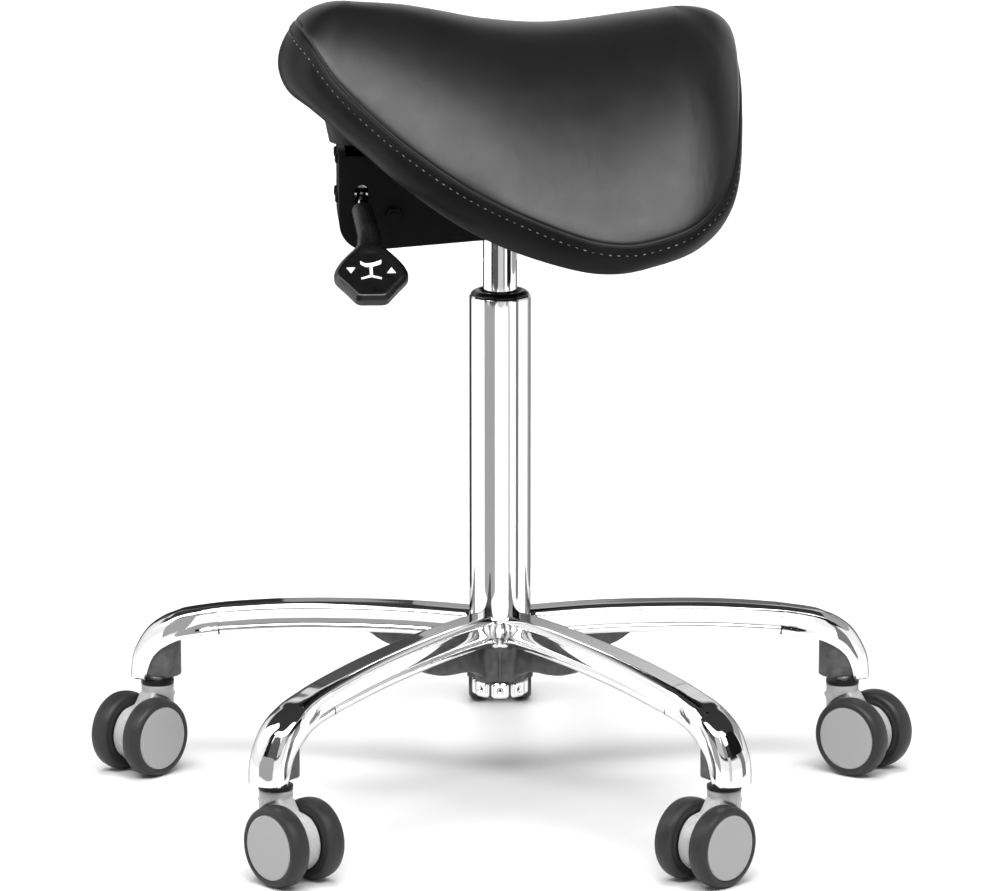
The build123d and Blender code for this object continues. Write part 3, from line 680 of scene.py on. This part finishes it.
def symbol_outlines():
    """A stool seen from the side between an arrow down and an arrow up, as closed outlines."""
    seat_top = smooth_line([(-0.0085, 0.0765), (-0.004, 0.0795), (0.002, 0.0785), (0.0085, 0.0755)], 4)
    seat_bottom = [(0.0080, 0.0800), (0.002, 0.0830), (-0.004, 0.0835), (-0.0082, 0.0805)]
    column_side = [(-0.0012, 0.0832), (0.0012, 0.0832), (0.0012, 0.0925), (-0.0012, 0.0925)]
    base_side = [
        (-0.0080, 0.0955), (0.0, 0.0925), (0.0080, 0.0955), (0.0080, 0.0975), (0.0, 0.0948),
        (-0.0080, 0.0975),
    ]
    down_arrow = [(-0.0195, 0.0840), (-0.0125, 0.0840), (-0.0160, 0.0905)]
    up_arrow = [(0.0125, 0.0905), (0.0160, 0.0840), (0.0195, 0.0905)]
    return [np.vstack([seat_top, seat_bottom]), column_side, base_side, down_arrow, up_arrow]


def lever_paddle():
    points, faces = surface_of(handle_field, (0.006, -0.030, -0.010), (0.122, 0.038, 0.010), 0.001)
    points = [lever_place(*point) for point in points]
    nodes = ["height_lever_handle"]
    new_piece("lever_paddle", points, faces, LEVER_BLACK, "black_plastic", "height_lever", nodes)


def lever_symbol():
    """The printed symbol, thin plates that stand a little proud of the paddle's face."""
    points, faces = [], []
    for outline in symbol_outlines():
        first, count = len(points), len(outline)
        for above in (PADDLE_HALF_THICK - SYMBOL_SINK, PADDLE_HALF_THICK + SYMBOL_RISE):
            points += [lever_place(along, across + PADDLE_SHIFT, above) for across, along in outline]
        faces.append(tuple(first + count + i for i in range(count)))
        faces += [tuple(first + i for i in face) for face in grid_faces(2, count)]
    symbol = new_piece("lever_symbol", points, faces, WHITE_PRINT, None, "height_lever")
    symbol.data.shade_flat()
    merge_close(symbol)


lever_paddle()
lever_symbol()


# ---------------------------------------------------------------- star base
BASE_TURN = math.radians(-3)
LEG_COUNT = 5
# the top line of a leg, as (distance from the column's axis, height)
LEG_TOP = [
    (0.022, 0.1578), (0.080, 0.1577), (0.140, 0.1550), (0.188, 0.1512), (0.236, 0.1452),
    (0.259, 0.1410), (0.276, 0.1370), (0.300, 0.1290),
]
LEG_SWEEP_END = 0.244  # from here out the leg is part of the boot
LEG_BLEND = (0.214, 0.240)  # over this stretch the leg takes on the boot's softer edges
# the leg's section: half width and depth under its top, in metres
LEG_SECTION = [
    (0.0, 0.0), (0.0072, 0.0), (0.0088, 0.0003), (0.0100, 0.0012), (0.0120, 0.0034), (0.0127, 0.0048),
    (0.0124, 0.0066), (0.0121, 0.0100), (0.0121, 0.0135), (0.0125, 0.0166), (0.0136, 0.0182),
    (0.0140, 0.0198), (0.0138, 0.0222), (0.0126, 0.0236), (0.0104, 0.0236), (0.0094, 0.0222),
    (0.0088, 0.0150), (0.0080, 0.0080), (0.0, 0.0070),
]
LEG_EDGE = 0.0006  # the rounding of the leg's edges in its distance field
# turned and upright outlines below are (distance from the column's axis, height)
HUB_OUTLINE = [
    (0.0225, 0.1530), (0.0256, 0.1530), (0.0270, 0.1515), (0.0275, 0.1480), (0.0275, 0.1400),
    (0.0284, 0.1365), (0.0292, 0.1345), (0.0286, 0.1328), (0.0225, 0.1325),
]
LEG_SINK = 0.00015  # away from its fillets the hub lies this far inside the legs
HUB_REACH = 0.046  # the hub's fillets end within this radius
HUB_BORE = 0.02505
HUB_FILLET = 0.006
BOOT_OUTER = smooth_line(
    [(0.256, 0.1382), (0.275, 0.1366), (0.2912, 0.1316), (0.3056, 0.1214), (0.3154, 0.1068),
     (0.3204, 0.0926), (0.3217, 0.0700)], 8
).tolist()
BOOT_OUTER += [(0.256, 0.0700)]
BOOT_BOTTOM = 0.0775
BOOT_ARCH = smooth_line(
    [(0.3050, 0.0700), (0.3040, 0.0800), (0.2990, 0.0950), (0.2915, 0.1040), (0.2790, 0.1118),
     (0.2660, 0.1160), (0.2510, 0.1190)], 8
).tolist()
BOOT_ARCH += [(0.230, 0.1200), (0.230, 0.060), (0.3050, 0.060)]
BOOT_HALF = 0.0180
BOOT_ROUNDING = 0.017
BOOT_WIDENING = [(0.250, 0.0105), (0.288, 0.0182)]  # half width, as (distance out, half width)
BOOT_FILLET = 0.003
LEG_END = 0.286  # the leg fades into the boot here
LEG_FADE = 0.010
SOCKET_PLACE = 0.2970
SOCKET_RADIUS = 0.0172
SOCKET_INSET = 0.0025
RAW_HUB = [
    (0.0, 0.1345), (0.0285, 0.1345), (0.0270, 0.1250), (0.0245, 0.1120), (0.0235, 0.1015), (0.0, 0.1015),
]
WEB_OUTLINE = [(0.020, 0.136), (0.020, 0.1015)]
WEB_OUTLINE += smooth_line(
    [(0.0235, 0.1020), (0.0330, 0.1100), (0.0480, 0.1150), (0.0800, 0.1185), (0.1000, 0.1240),
     (0.1150, 0.1330)], 8
).tolist()
WEB_OUTLINE += [(0.1150, 0.137)]
WEB_HALF = 0.0048
WEB_FILLET = 0.004
SIDE_RIBS = 10
RIB_HALF = 0.0010
RIB_REACH = 0.0282
RIB_SPAN = (0.1025, 0.1355)
RING_LOBES = 8
RING_BORE = 0.0178
LOBE_REACH = 0.0230
LOBE_HALF = 0.0074
LOBE_ROUNDING = 0.004
DIMPLE_REACH = 0.0234
DIMPLE_RADIUS = 0.0028
FINE_CELL = 0.0008  # grid steps of the surfaces: the ring's, the polished parts' and the raw parts'
POLISHED_CELL = 0.00125
RAW_CELL = 0.0015


def leg_turn(number):
    """The direction of a leg, from +X."""
    return BASE_TURN + math.pi + number * 2 * math.pi / LEG_COUNT


def turned(points, turn):
    """Points turned about the column's axis."""
    x, y, z = np.asarray(points, float).T
    c, s = math.cos(turn), math.sin(turn)
    return np.stack([x * c - y * s, x * s + y * c, z], axis=1)


def leg_grid():
    """One leg along +X: its section swept along its top line."""
    top = smooth_line(LEG_TOP, 14)
    top = top[top[:, 0] < LEG_SWEEP_END]
    tangent = np.gradient(top, axis=0)
    tangent /= np.linalg.norm(tangent, axis=1, keepdims=True)
    normal = np.stack([tangent[:, 1], -tangent[:, 0]], axis=1)
    half = smooth_line(LEG_SECTION, 4)
    section = np.vstack([half, (half * [-1, 1])[-2:0:-1]])
    points = []
    for (a, z), (na, nz) in zip(top, normal):
        for width, depth in section:
            points.append((a + na * depth, width, z + nz * depth))
    points = np.array(points)
    softness = np.clip((points[:, :1] - LEG_BLEND[0]) / (LEG_BLEND[1] - LEG_BLEND[0]), 0, 1)
    points = mixed(points, onto_surface(boot_field, points, 0.002), softness)
    return points, grid_faces(len(top), len(section))


def leg_field(a, s, z):
    """The leg's section as a distance field."""
    line = smooth_line(LEG_TOP, 8)
    slope = np.interp(a, line[:, 0], np.gradient(line[:, 1], line[:, 0]))
    depth = (np.interp(a, line[:, 0], line[:, 1]) - z) / np.hypot(1, slope)
    side = LEG_SECTION[1:14]
    width = np.interp(depth, [d for _, d in side], [w for w, _ in side])
    half = side[-1][1] / 2
    return overlap(np.abs(s) - width, np.abs(depth - half) - half, LEG_EDGE)


def boot_block(a, s, z):
    """The boot's body, rounded like a D all round and flat below."""
    block = overlap(outline_distance(np.array(BOOT_OUTER), a, z), np.abs(s) - BOOT_HALF, BOOT_ROUNDING)
    width = np.interp(a, *zip(*BOOT_WIDENING))
    block = overlap(block, np.abs(s) - width, 0.004)
    return overlap(block, BOOT_BOTTOM - z, 0.001)


def boot_field(a, s, z):
    """The boot at the leg's end, cut by the arch on its inner side."""
    block = boot_block(a, s, z)
    leg = overlap(leg_field(a, s, z), a - LEG_END, LEG_FADE)
    arch = outline_distance(np.array(BOOT_ARCH), a, z)
    return overlap(union(block, leg, BOOT_FILLET), -arch, 0.0015)


def socket_field(a, s, z):
    """The unpolished socket of the castor's stem, inside the arch."""
    socket = overlap(np.hypot(a - SOCKET_PLACE, s) - SOCKET_RADIUS, BOOT_BOTTOM + 0.0006 - z, 0.003)
    return overlap(socket, boot_block(a, s, z) + SOCKET_INSET, 0.001)


def folded(x, y):
    """A point's place along and across the nearest leg."""
    radius, turn = np.hypot(x, y), np.arctan2(y, x) - leg_turn(0)
    part = 2 * math.pi / LEG_COUNT
    turn = np.abs((turn + part / 2) % part - part / 2)
    return radius * np.cos(turn), radius * np.sin(turn)


def hub_field(x, y, z):
    """The polished hub, its legs growing out of it in soft fillets."""
    along, across = folded(x, y)
    radius = np.hypot(x, y)
    hub = outline_distance(np.array(HUB_OUTLINE), radius, z)
    made = union(leg_field(along, across, z) + LEG_SINK, hub, HUB_FILLET)
    made = overlap(made, HUB_BORE - radius, 0.001)
    return np.maximum(made, radius - HUB_REACH)


def raw_hub_field(x, y, z):
    """The unpolished lower hub with a web under each leg and small ribs between them."""
    along, across = folded(x, y)
    radius = np.hypot(x, y)
    core = outline_distance(np.array(RAW_HUB), radius, z)
    web = overlap(outline_distance(np.array(WEB_OUTLINE), along, z), across - WEB_HALF, 0.001)
    part = 2 * math.pi / SIDE_RIBS
    rib_turn = (np.arctan2(y, x) - leg_turn(0)) % part
    rib_across = radius * np.minimum(rib_turn, part - rib_turn)
    low, high = RIB_SPAN
    rib_height = np.abs(z - (low + high) / 2) - (high - low) / 2
    rib = overlap(rib_height, np.maximum(rib_across - RIB_HALF, radius - RIB_REACH), 0.001)
    return union(union(core, web, WEB_FILLET), rib, 0.0015)


def ring_level(z):
    """How far above or below the ring's middle a height is, and half the ring's height."""
    low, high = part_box("hub_end_ring")
    return np.abs(z - (low.z + high.z) / 2), (high.z - low.z) / 2


def ring_lobe_field(x, y, z):
    """The eight chromed lobes round the ring under the hub, each with a dimple."""
    level, half = ring_level(z)
    radius, part = np.hypot(x, y), 2 * math.pi / RING_LOBES
    turn = (np.arctan2(y, x) - BASE_TURN + part / 2) % part - part / 2
    out, across = radius * np.cos(turn), radius * np.sin(turn)
    lobe = overlap(out - LOBE_REACH, np.abs(across) - LOBE_HALF, LOBE_ROUNDING)
    lobe = overlap(lobe, level - half, LOBE_ROUNDING)
    dimple = np.sqrt((out - DIMPLE_REACH) ** 2 + across ** 2 + level ** 2) - DIMPLE_RADIUS
    return np.maximum(overlap(lobe, -dimple, 0.0008), RING_BORE - radius)


def ring_core_field(x, y, z):
    """The ring between and behind the lobes, which is given a tone darkened with painted shade."""
    level, half = ring_level(z)
    wall = np.abs(np.hypot(x, y) - 0.0190) - 0.0020
    return overlap(wall, level - half + 0.0006, 0.0006)


def joined(parts):
    """Several (points, faces) as one."""
    points, faces = [], []
    for part_points, part_faces in parts:
        first = len(points)
        points += [tuple(p) for p in part_points]
        faces += [tuple(first + i for i in face) for face in part_faces]
    return points, faces


def star_base():
    """The polished casting, and its unpolished sockets, webs and lower hub, whose dark tone is partly
    painted shade.
    """
    leg = leg_grid()
    boot = surface_of(boot_field, (0.240, -0.022, 0.074), (0.326, 0.022, 0.147), POLISHED_CELL)
    socket = surface_of(socket_field, (0.276, -0.020, 0.074), (0.320, 0.020, 0.128), RAW_CELL)
    polished = [surface_of(hub_field, (-0.05, -0.05, 0.130), (0.05, 0.05, 0.162), 0.8 * POLISHED_CELL)]
    raw = [surface_of(raw_hub_field, (-0.12, -0.12, 0.098), (0.12, 0.12, 0.139), RAW_CELL)]
    for number in range(LEG_COUNT):
        for group, (points, faces) in ((polished, leg), (polished, boot), (raw, socket)):
            group.append((turned(points, leg_turn(number)), faces))
    points, faces = joined(polished)
    new_piece("star_legs", points, faces, POLISHED, "polished_aluminium", "base", ["star_base"])
    points, faces = joined(raw)
    # the unpolished casting under the hub and in the arches, its tone darkened with painted shade
    new_piece("star_raw_parts_and_painted_shade", points, faces, RAW_CAST_AND_PAINTED_SHADE, "polished_aluminium", "base")


def hub_ring():
    """The ring under the hub: its lobes and the core behind them."""
    low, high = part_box("hub_end_ring")
    margin = Vector((0.002, 0.002, 0.002))
    points, faces = surface_of(ring_lobe_field, low - margin, high + margin, FINE_CELL)
    new_piece("hub_ring_lobes", points, faces, CHROME, "chrome", "base", ["hub_end_ring"])
    points, faces = surface_of(ring_core_field, low - margin, high + margin, FINE_CELL)
    # the core takes the unpolished finish, its dark tone painted shade between and behind the lobes
    new_piece("hub_ring_core", points, faces, RAW_CAST_AND_PAINTED_SHADE, "chrome", "base")


star_base()
hub_ring()


# ---------------------------------------------------------------- column
COLUMN_FOOT = 0.128
UP = (0, 0, 1)


def column():
    """The outer tube, the black bush in its mouth and the gas lift's tube that slides in it."""
    tube, rod_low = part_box("column_tube")[1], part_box("pressure_tube")[0]
    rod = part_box("pressure_tube")[1]
    outline = rounded(
        [(tube.x, COLUMN_FOOT), (tube.x, tube.z - 0.0030), (tube.x - 0.0012, tube.z - 0.0018)], 0.0008
    )
    points, faces = lathe(outline, (0, 0, 0), UP, 160)
    new_piece("column_outer_tube", points, faces, CHROME, "chrome", "base", ["column_tube"])
    # the bush as (out from the tube or the rod, up from the tube's top)
    shoulder = [(-0.0010, -0.0030), (-0.0012, -0.0005), (-0.0045, 0.0020)]
    mouth = [(0.0035, 0.0020), (0.0012, -0.0010), (0.0003, -0.0020), (0.0003, -0.0200)]
    outline = [(tube.x + out, tube.z + up) for out, up in shoulder]
    outline += [(rod.x + out, tube.z + up) for out, up in mouth]
    points, faces = lathe(rounded(outline, 0.0022), (0, 0, 0), UP, 128)
    new_piece("column_guide_bush", points, faces, LEVER_BLACK, "black_plastic", "base", ["guide_bush"])
    outline = rounded([(0.0, rod_low.z), (rod.x, rod_low.z), (rod.x, rod.z), (0.0, rod.z)], 0.001)
    points, faces = lathe(outline, (0, 0, 0), UP, 128)
    new_piece("gas_lift_tube", points, faces, CHROME, "chrome", "lift_tube", ["pressure_tube"])


column()


# ---------------------------------------------------------------- castors
TRAIL = 0.022
AXLE_HEIGHT = 0.0328
NECK_RADIUS = 0.0135
NECK_SPAN = (0.044, 0.072)
WHEEL_CLEARANCE = 0.0348  # radius about the axle that the neck keeps clear of
HOOD_HALF = 0.0083
TYRE_RADIUS = 0.0328
CORE_RADIUS = 0.0261
WHEEL_GAP = 0.0090  # from the castor's middle to a wheel's inner and outer face
WHEEL_FACE = 0.0270
# the hood from the side: (distance from the stem's axis towards the axle, height)
HOOD_OUTLINE = smooth_line(
    [(0.0140, 0.0140), (0.0050, 0.0190), (-0.0010, 0.0280), (-0.0010, 0.0380), (0.0030, 0.0460)], 6
).tolist()
HOOD_OUTLINE += [(-0.0080, 0.0560), (-0.0134, 0.0610), (-0.0134, 0.0640), (0.0130, 0.0660)]
HOOD_OUTLINE += smooth_line(
    [(0.0200, 0.0562), (0.0330, 0.0535), (0.0420, 0.0450), (0.0455, 0.0328), (0.0420, 0.0206),
     (0.0330, 0.0120)], 6
).tolist()
HOOD_OUTLINE += [(0.0240, 0.0200)]


def caster_field(x, y, z):
    """A castor's body: the neck under the stem, cut clear of the wheels, and the hood between them."""
    low, high = NECK_SPAN
    neck = overlap(np.hypot(x, y) - NECK_RADIUS, np.abs(z - (low + high) / 2) - (high - low) / 2, 0.0012)
    clear = np.hypot(x - TRAIL, z - AXLE_HEIGHT) - WHEEL_CLEARANCE
    neck = overlap(neck, -clear, 0.0008)
    hood = overlap(outline_distance(np.array(HOOD_OUTLINE), x, z), np.abs(y) - HOOD_HALF, 0.0022)
    return union(neck, hood, 0.0012)


def wheel_outlines():
    """The turned parts of a wheel: name, outline, finish and slot. An outline is (radius, distance
    from the castor's middle)."""
    shoulder, gap, face = TYRE_RADIUS - 0.0010, WHEEL_GAP, WHEEL_FACE
    tyre = rounded(
        [(0.0262, gap), (0.0295, gap), (shoulder, gap + 0.0022), (TYRE_RADIUS, gap + 0.0065),
         (TYRE_RADIUS, face - 0.0065), (shoulder, face - 0.0022), (0.0295, face), (0.0262, face),
         (0.0262, gap)], 0.0012
    )
    core = [
        (0.0, gap + 0.0020), (0.0200, gap + 0.0020), (CORE_RADIUS, gap - 0.0001),
        (CORE_RADIUS, face - 0.0030),
    ]
    cap = rounded(
        [(CORE_RADIUS, face - 0.0030), (CORE_RADIUS, face - 0.0006), (0.0252, face),
         (0.0120, face + 0.0004), (0.0, face + 0.0005)], 0.0008
    )
    return (
        ("tyre", tyre, TYRE_GREY, "tyre_grey"), ("core", core, TYRE_GREY, "caster_grey"),
        ("cap", cap, CAP_GREY, "caster_grey"),
    )


def node_middle(node):
    return sum(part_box(node), Vector()) / 2


def casters():
    points, faces = surface_of(caster_field, (-0.016, -0.016, 0.008), (0.050, 0.016, 0.076), 0.001)
    for name in CASTERS:
        body = f"caster_{name}"
        stem = Vector(JOINTS[f"{body}_swivel"]["pos_m"])
        sides = {side: node_middle(f"{body}_core_{side}") for side in ("left", "right")}
        axle = (sides["left"] + sides["right"]) / 2
        turn = math.atan2(axle.y - stem.y, axle.x - stem.x)
        placed = turned(points, turn) + np.array([stem.x, stem.y, 0.0])
        new_piece(f"{body}_hood", placed, faces, CASTER_GREY, "caster_grey", body, [f"{body}_body"])
        for side, centre in sides.items():
            wheel = f"{body}_wheel_{side}"
            for part, outline, material, slot in wheel_outlines():
                made = lathe(outline, axle, centre - axle)
                nodes = [] if part == "cap" else [f"{body}_{part}_{side}"]
                new_piece(f"{wheel}_{part}", *made, material, slot, wheel, nodes)


casters()


# ---------------------------------------------------------------- carried-over CAD nodes
def paint(material, *nodes):
    """Give CAD nodes a finish in place of their plain colour."""
    for node in nodes:
        slots = frame["nodes"][node].material_slots
        for slot in slots:
            slot.material = material


paint(CHROME, "height_lever_rod", "piston_rod")
paint(STEEL, "column_end_plate", "thrust_bearing", "retaining_clip", "gas_piston", "tube_gland")
paint(STEEL, "release_pin", "lever_pivot_pin", "seat_bolts", "caster_stems")
paint(STEEL, *[f"caster_{name}_axle" for name in CASTERS])
paint(BLACK_STEEL, "mechanism_housing", "housing_screws", "lever_bracket", "seat_plate")
paint(BLACK_STEEL, "tilt_bolt", "tilt_nut")
paint(BLACK_PLASTIC, "tilt_lever", "seat_adapter", "stem_collars")


# ---------------------------------------------------------------- camera, light and floor
CAMERA_TURN = math.radians(87)  # round the object from -Y
CAMERA_DISTANCE = 5.538
CAMERA_HEIGHT = 1.5153
CAMERA_PITCH = math.radians(12.43)
LENS = 251.0
# brightness of the studio over the height of the direction looked in, 0 at the horizon and 1 overhead
LOW_BAND = [(0.0, 1.0), (0.30, 1.0), (0.37, 0.04), (1.0, 0.04)]
FAR_WALL_HEIGHT = [(0.56, 1.0), (0.66, 0.0)]
FAR_WALL_REACH = 0.25
SOFT_BOX_HEIGHT = [(0.62, 0.0), (0.74, 1.0), (0.83, 1.0), (0.91, 0.0)]
SOFT_BOX_SIDE = [(0.20, 0.0), (0.42, 1.0)]
SOFT_BOX_BRIGHTNESS = 14.0
OVERHEAD_STRENGTH = 2.2
OVERHEAD_WIDTH = math.radians(26)
# cards seen only in reflections, as (turn from the camera's direction in degrees, width, brightness)
CARD_DISTANCE = 0.75
COLUMN_CARDS = [(-39, 0.56, 0.40), (34, 0.13, 0.72), (66, 0.16, 0.22), (-148, 0.40, 0.10), (150, 0.75, 0.55)]
GAS_LIFT_CARDS = [
    (-54, 0.14, 0.01), (-30, 0.50, 0.10), (4, 0.40, 0.62), (26, 0.16, 0.30), (62, 0.40, 0.01),
    (112, 0.85, 0.40), (-152, 0.60, 0.15),
]
SEAT_CARDS = [(-78, 0.35, 3.0)]
# seen from above, the column reflects what is below the split and the gas lift what is above it
CARD_SPLIT = 0.322
CARD_ROWS = [
    (COLUMN_CARDS, 0.0, CARD_SPLIT), (GAS_LIFT_CARDS, CARD_SPLIT, 0.70), (SEAT_CARDS, CARD_SPLIT, 1.40),
]


def camera():
    data = bpy.data.cameras.new("camera")
    data.lens = LENS
    data.sensor_width = 36.0
    data.clip_end = 100.0
    made = bpy.data.objects.new("camera", data)
    out = Vector((math.sin(CAMERA_TURN), -math.cos(CAMERA_TURN), 0.0))
    made.location = out * CAMERA_DISTANCE + Vector((0, 0, CAMERA_HEIGHT))
    view = -out * math.cos(CAMERA_PITCH) - Vector((0, 0, math.sin(CAMERA_PITCH)))
    made.rotation_euler = view.to_track_quat("-Z", "Y").to_euler()
    bpy.context.scene.collection.objects.link(made)
    bpy.context.scene.camera = made


def plain_emission(name, strength):
    material = bpy.data.materials.new(name)
    material.use_nodes = True
    nodes = material.node_tree.nodes
    nodes.clear()
    emission = nodes.new("ShaderNodeEmission")
    emission.inputs["Color"].default_value = (1, 1, 1, 1)
    emission.inputs["Strength"].default_value = strength
    output = nodes.new("ShaderNodeOutputMaterial")
    material.node_tree.links.new(emission.outputs["Emission"], output.inputs["Surface"])
    return material


def floor():
    mesh = bpy.data.meshes.new("floor")
    reach = 30.0
    corners = [(-reach, -reach, 0), (reach, -reach, 0), (reach, reach, 0), (-reach, reach, 0)]
    mesh.from_pydata(corners, [], [(0, 1, 2, 3)])
    made = Finish("pale_floor", Roughness=0.9, Specular_IOR_Level=0.1)
    made.colour(made.noise(0.8, 2), [(0.3, 0.585), (0.7, 0.60)])
    mesh.materials.append(made.material)
    piece = add_object("floor", mesh)


def reflector_card(turn, width, brightness, low, high):
    """An upright card that only shows in reflections, at a turn from the camera's direction."""
    centre_turn = CAMERA_TURN - math.pi / 2 + turn
    out = Vector((math.cos(centre_turn), math.sin(centre_turn), 0))
    side = Vector((-out.y, out.x, 0)) * width / 2
    ends = ((-1, low), (1, low), (1, high), (-1, high))
    corners = [tuple(out * CARD_DISTANCE + side * sign + Vector((0, 0, z))) for sign, z in ends]
    mesh = bpy.data.meshes.new("reflector_card")
    mesh.from_pydata(corners, [], [(0, 1, 2, 3)])
    mesh.materials.append(plain_emission("card", brightness))
    card = add_object("reflector_card", mesh)
    card.visible_camera = False
    card.visible_diffuse = False
    card.visible_shadow = False


def world():
    """A studio: white low down, dark above that, and a wide soft box high on the camera's side."""
    made = bpy.data.worlds.new("studio")
    bpy.context.scene.world = made
    made.use_nodes = True
    nodes, links = made.node_tree.nodes, made.node_tree.links
    place = nodes.new("ShaderNodeTexCoord").outputs["Generated"]
    split = nodes.new("ShaderNodeSeparateXYZ")
    links.new(place, split.inputs["Vector"])

    def ramp(factor, stops):
        return grey_ramp(nodes, links, factor, stops)

    def combined(operation, a, b, c=None):
        node = nodes.new("ShaderNodeMath")
        node.operation = operation
        for socket, value in zip(node.inputs, (a, b, c)):
            if isinstance(value, float):
                socket.default_value = value
            elif value is not None:
                links.new(value, socket)
        return node.outputs[0]

    toward = nodes.new("ShaderNodeVectorMath")
    toward.operation = "DOT_PRODUCT"
    links.new(place, toward.inputs[0])
    toward.inputs[1].default_value = (math.sin(CAMERA_TURN), -math.cos(CAMERA_TURN), 0.0)
    low = ramp(split.outputs["Z"], LOW_BAND)
    height = ramp(split.outputs["Z"], SOFT_BOX_HEIGHT)
    side = ramp(toward.outputs["Value"], SOFT_BOX_SIDE)
    box = combined("MULTIPLY", combined("MULTIPLY", height, side), SOFT_BOX_BRIGHTNESS)
    far_side = combined("LESS_THAN", toward.outputs["Value"], FAR_WALL_REACH)
    far_wall = combined("MULTIPLY", far_side, ramp(split.outputs["Z"], FAR_WALL_HEIGHT))
    low = combined("MAXIMUM", low, far_wall)
    background = nodes["Background"]
    background.inputs["Color"].default_value = (1, 1, 1, 1)
    links.new(combined("ADD", low, box), background.inputs["Strength"])


def overhead_light():
    """A broad light from above for the soft shadow; it stays out of the reflections."""
    data = bpy.data.lights.new("overhead", "SUN")
    data.energy = OVERHEAD_STRENGTH
    data.angle = OVERHEAD_WIDTH
    made = bpy.data.objects.new("overhead", data)
    made.visible_glossy = False
    made.visible_camera = False
    bpy.context.scene.collection.objects.link(made)


camera()
world()
overhead_light()
floor()
for cards, low_end, high_end in CARD_ROWS:
    for turn, width, brightness in cards:
        reflector_card(math.radians(turn), width, brightness, low_end, high_end)
bpy.context.scene.view_settings.view_transform = "Standard"
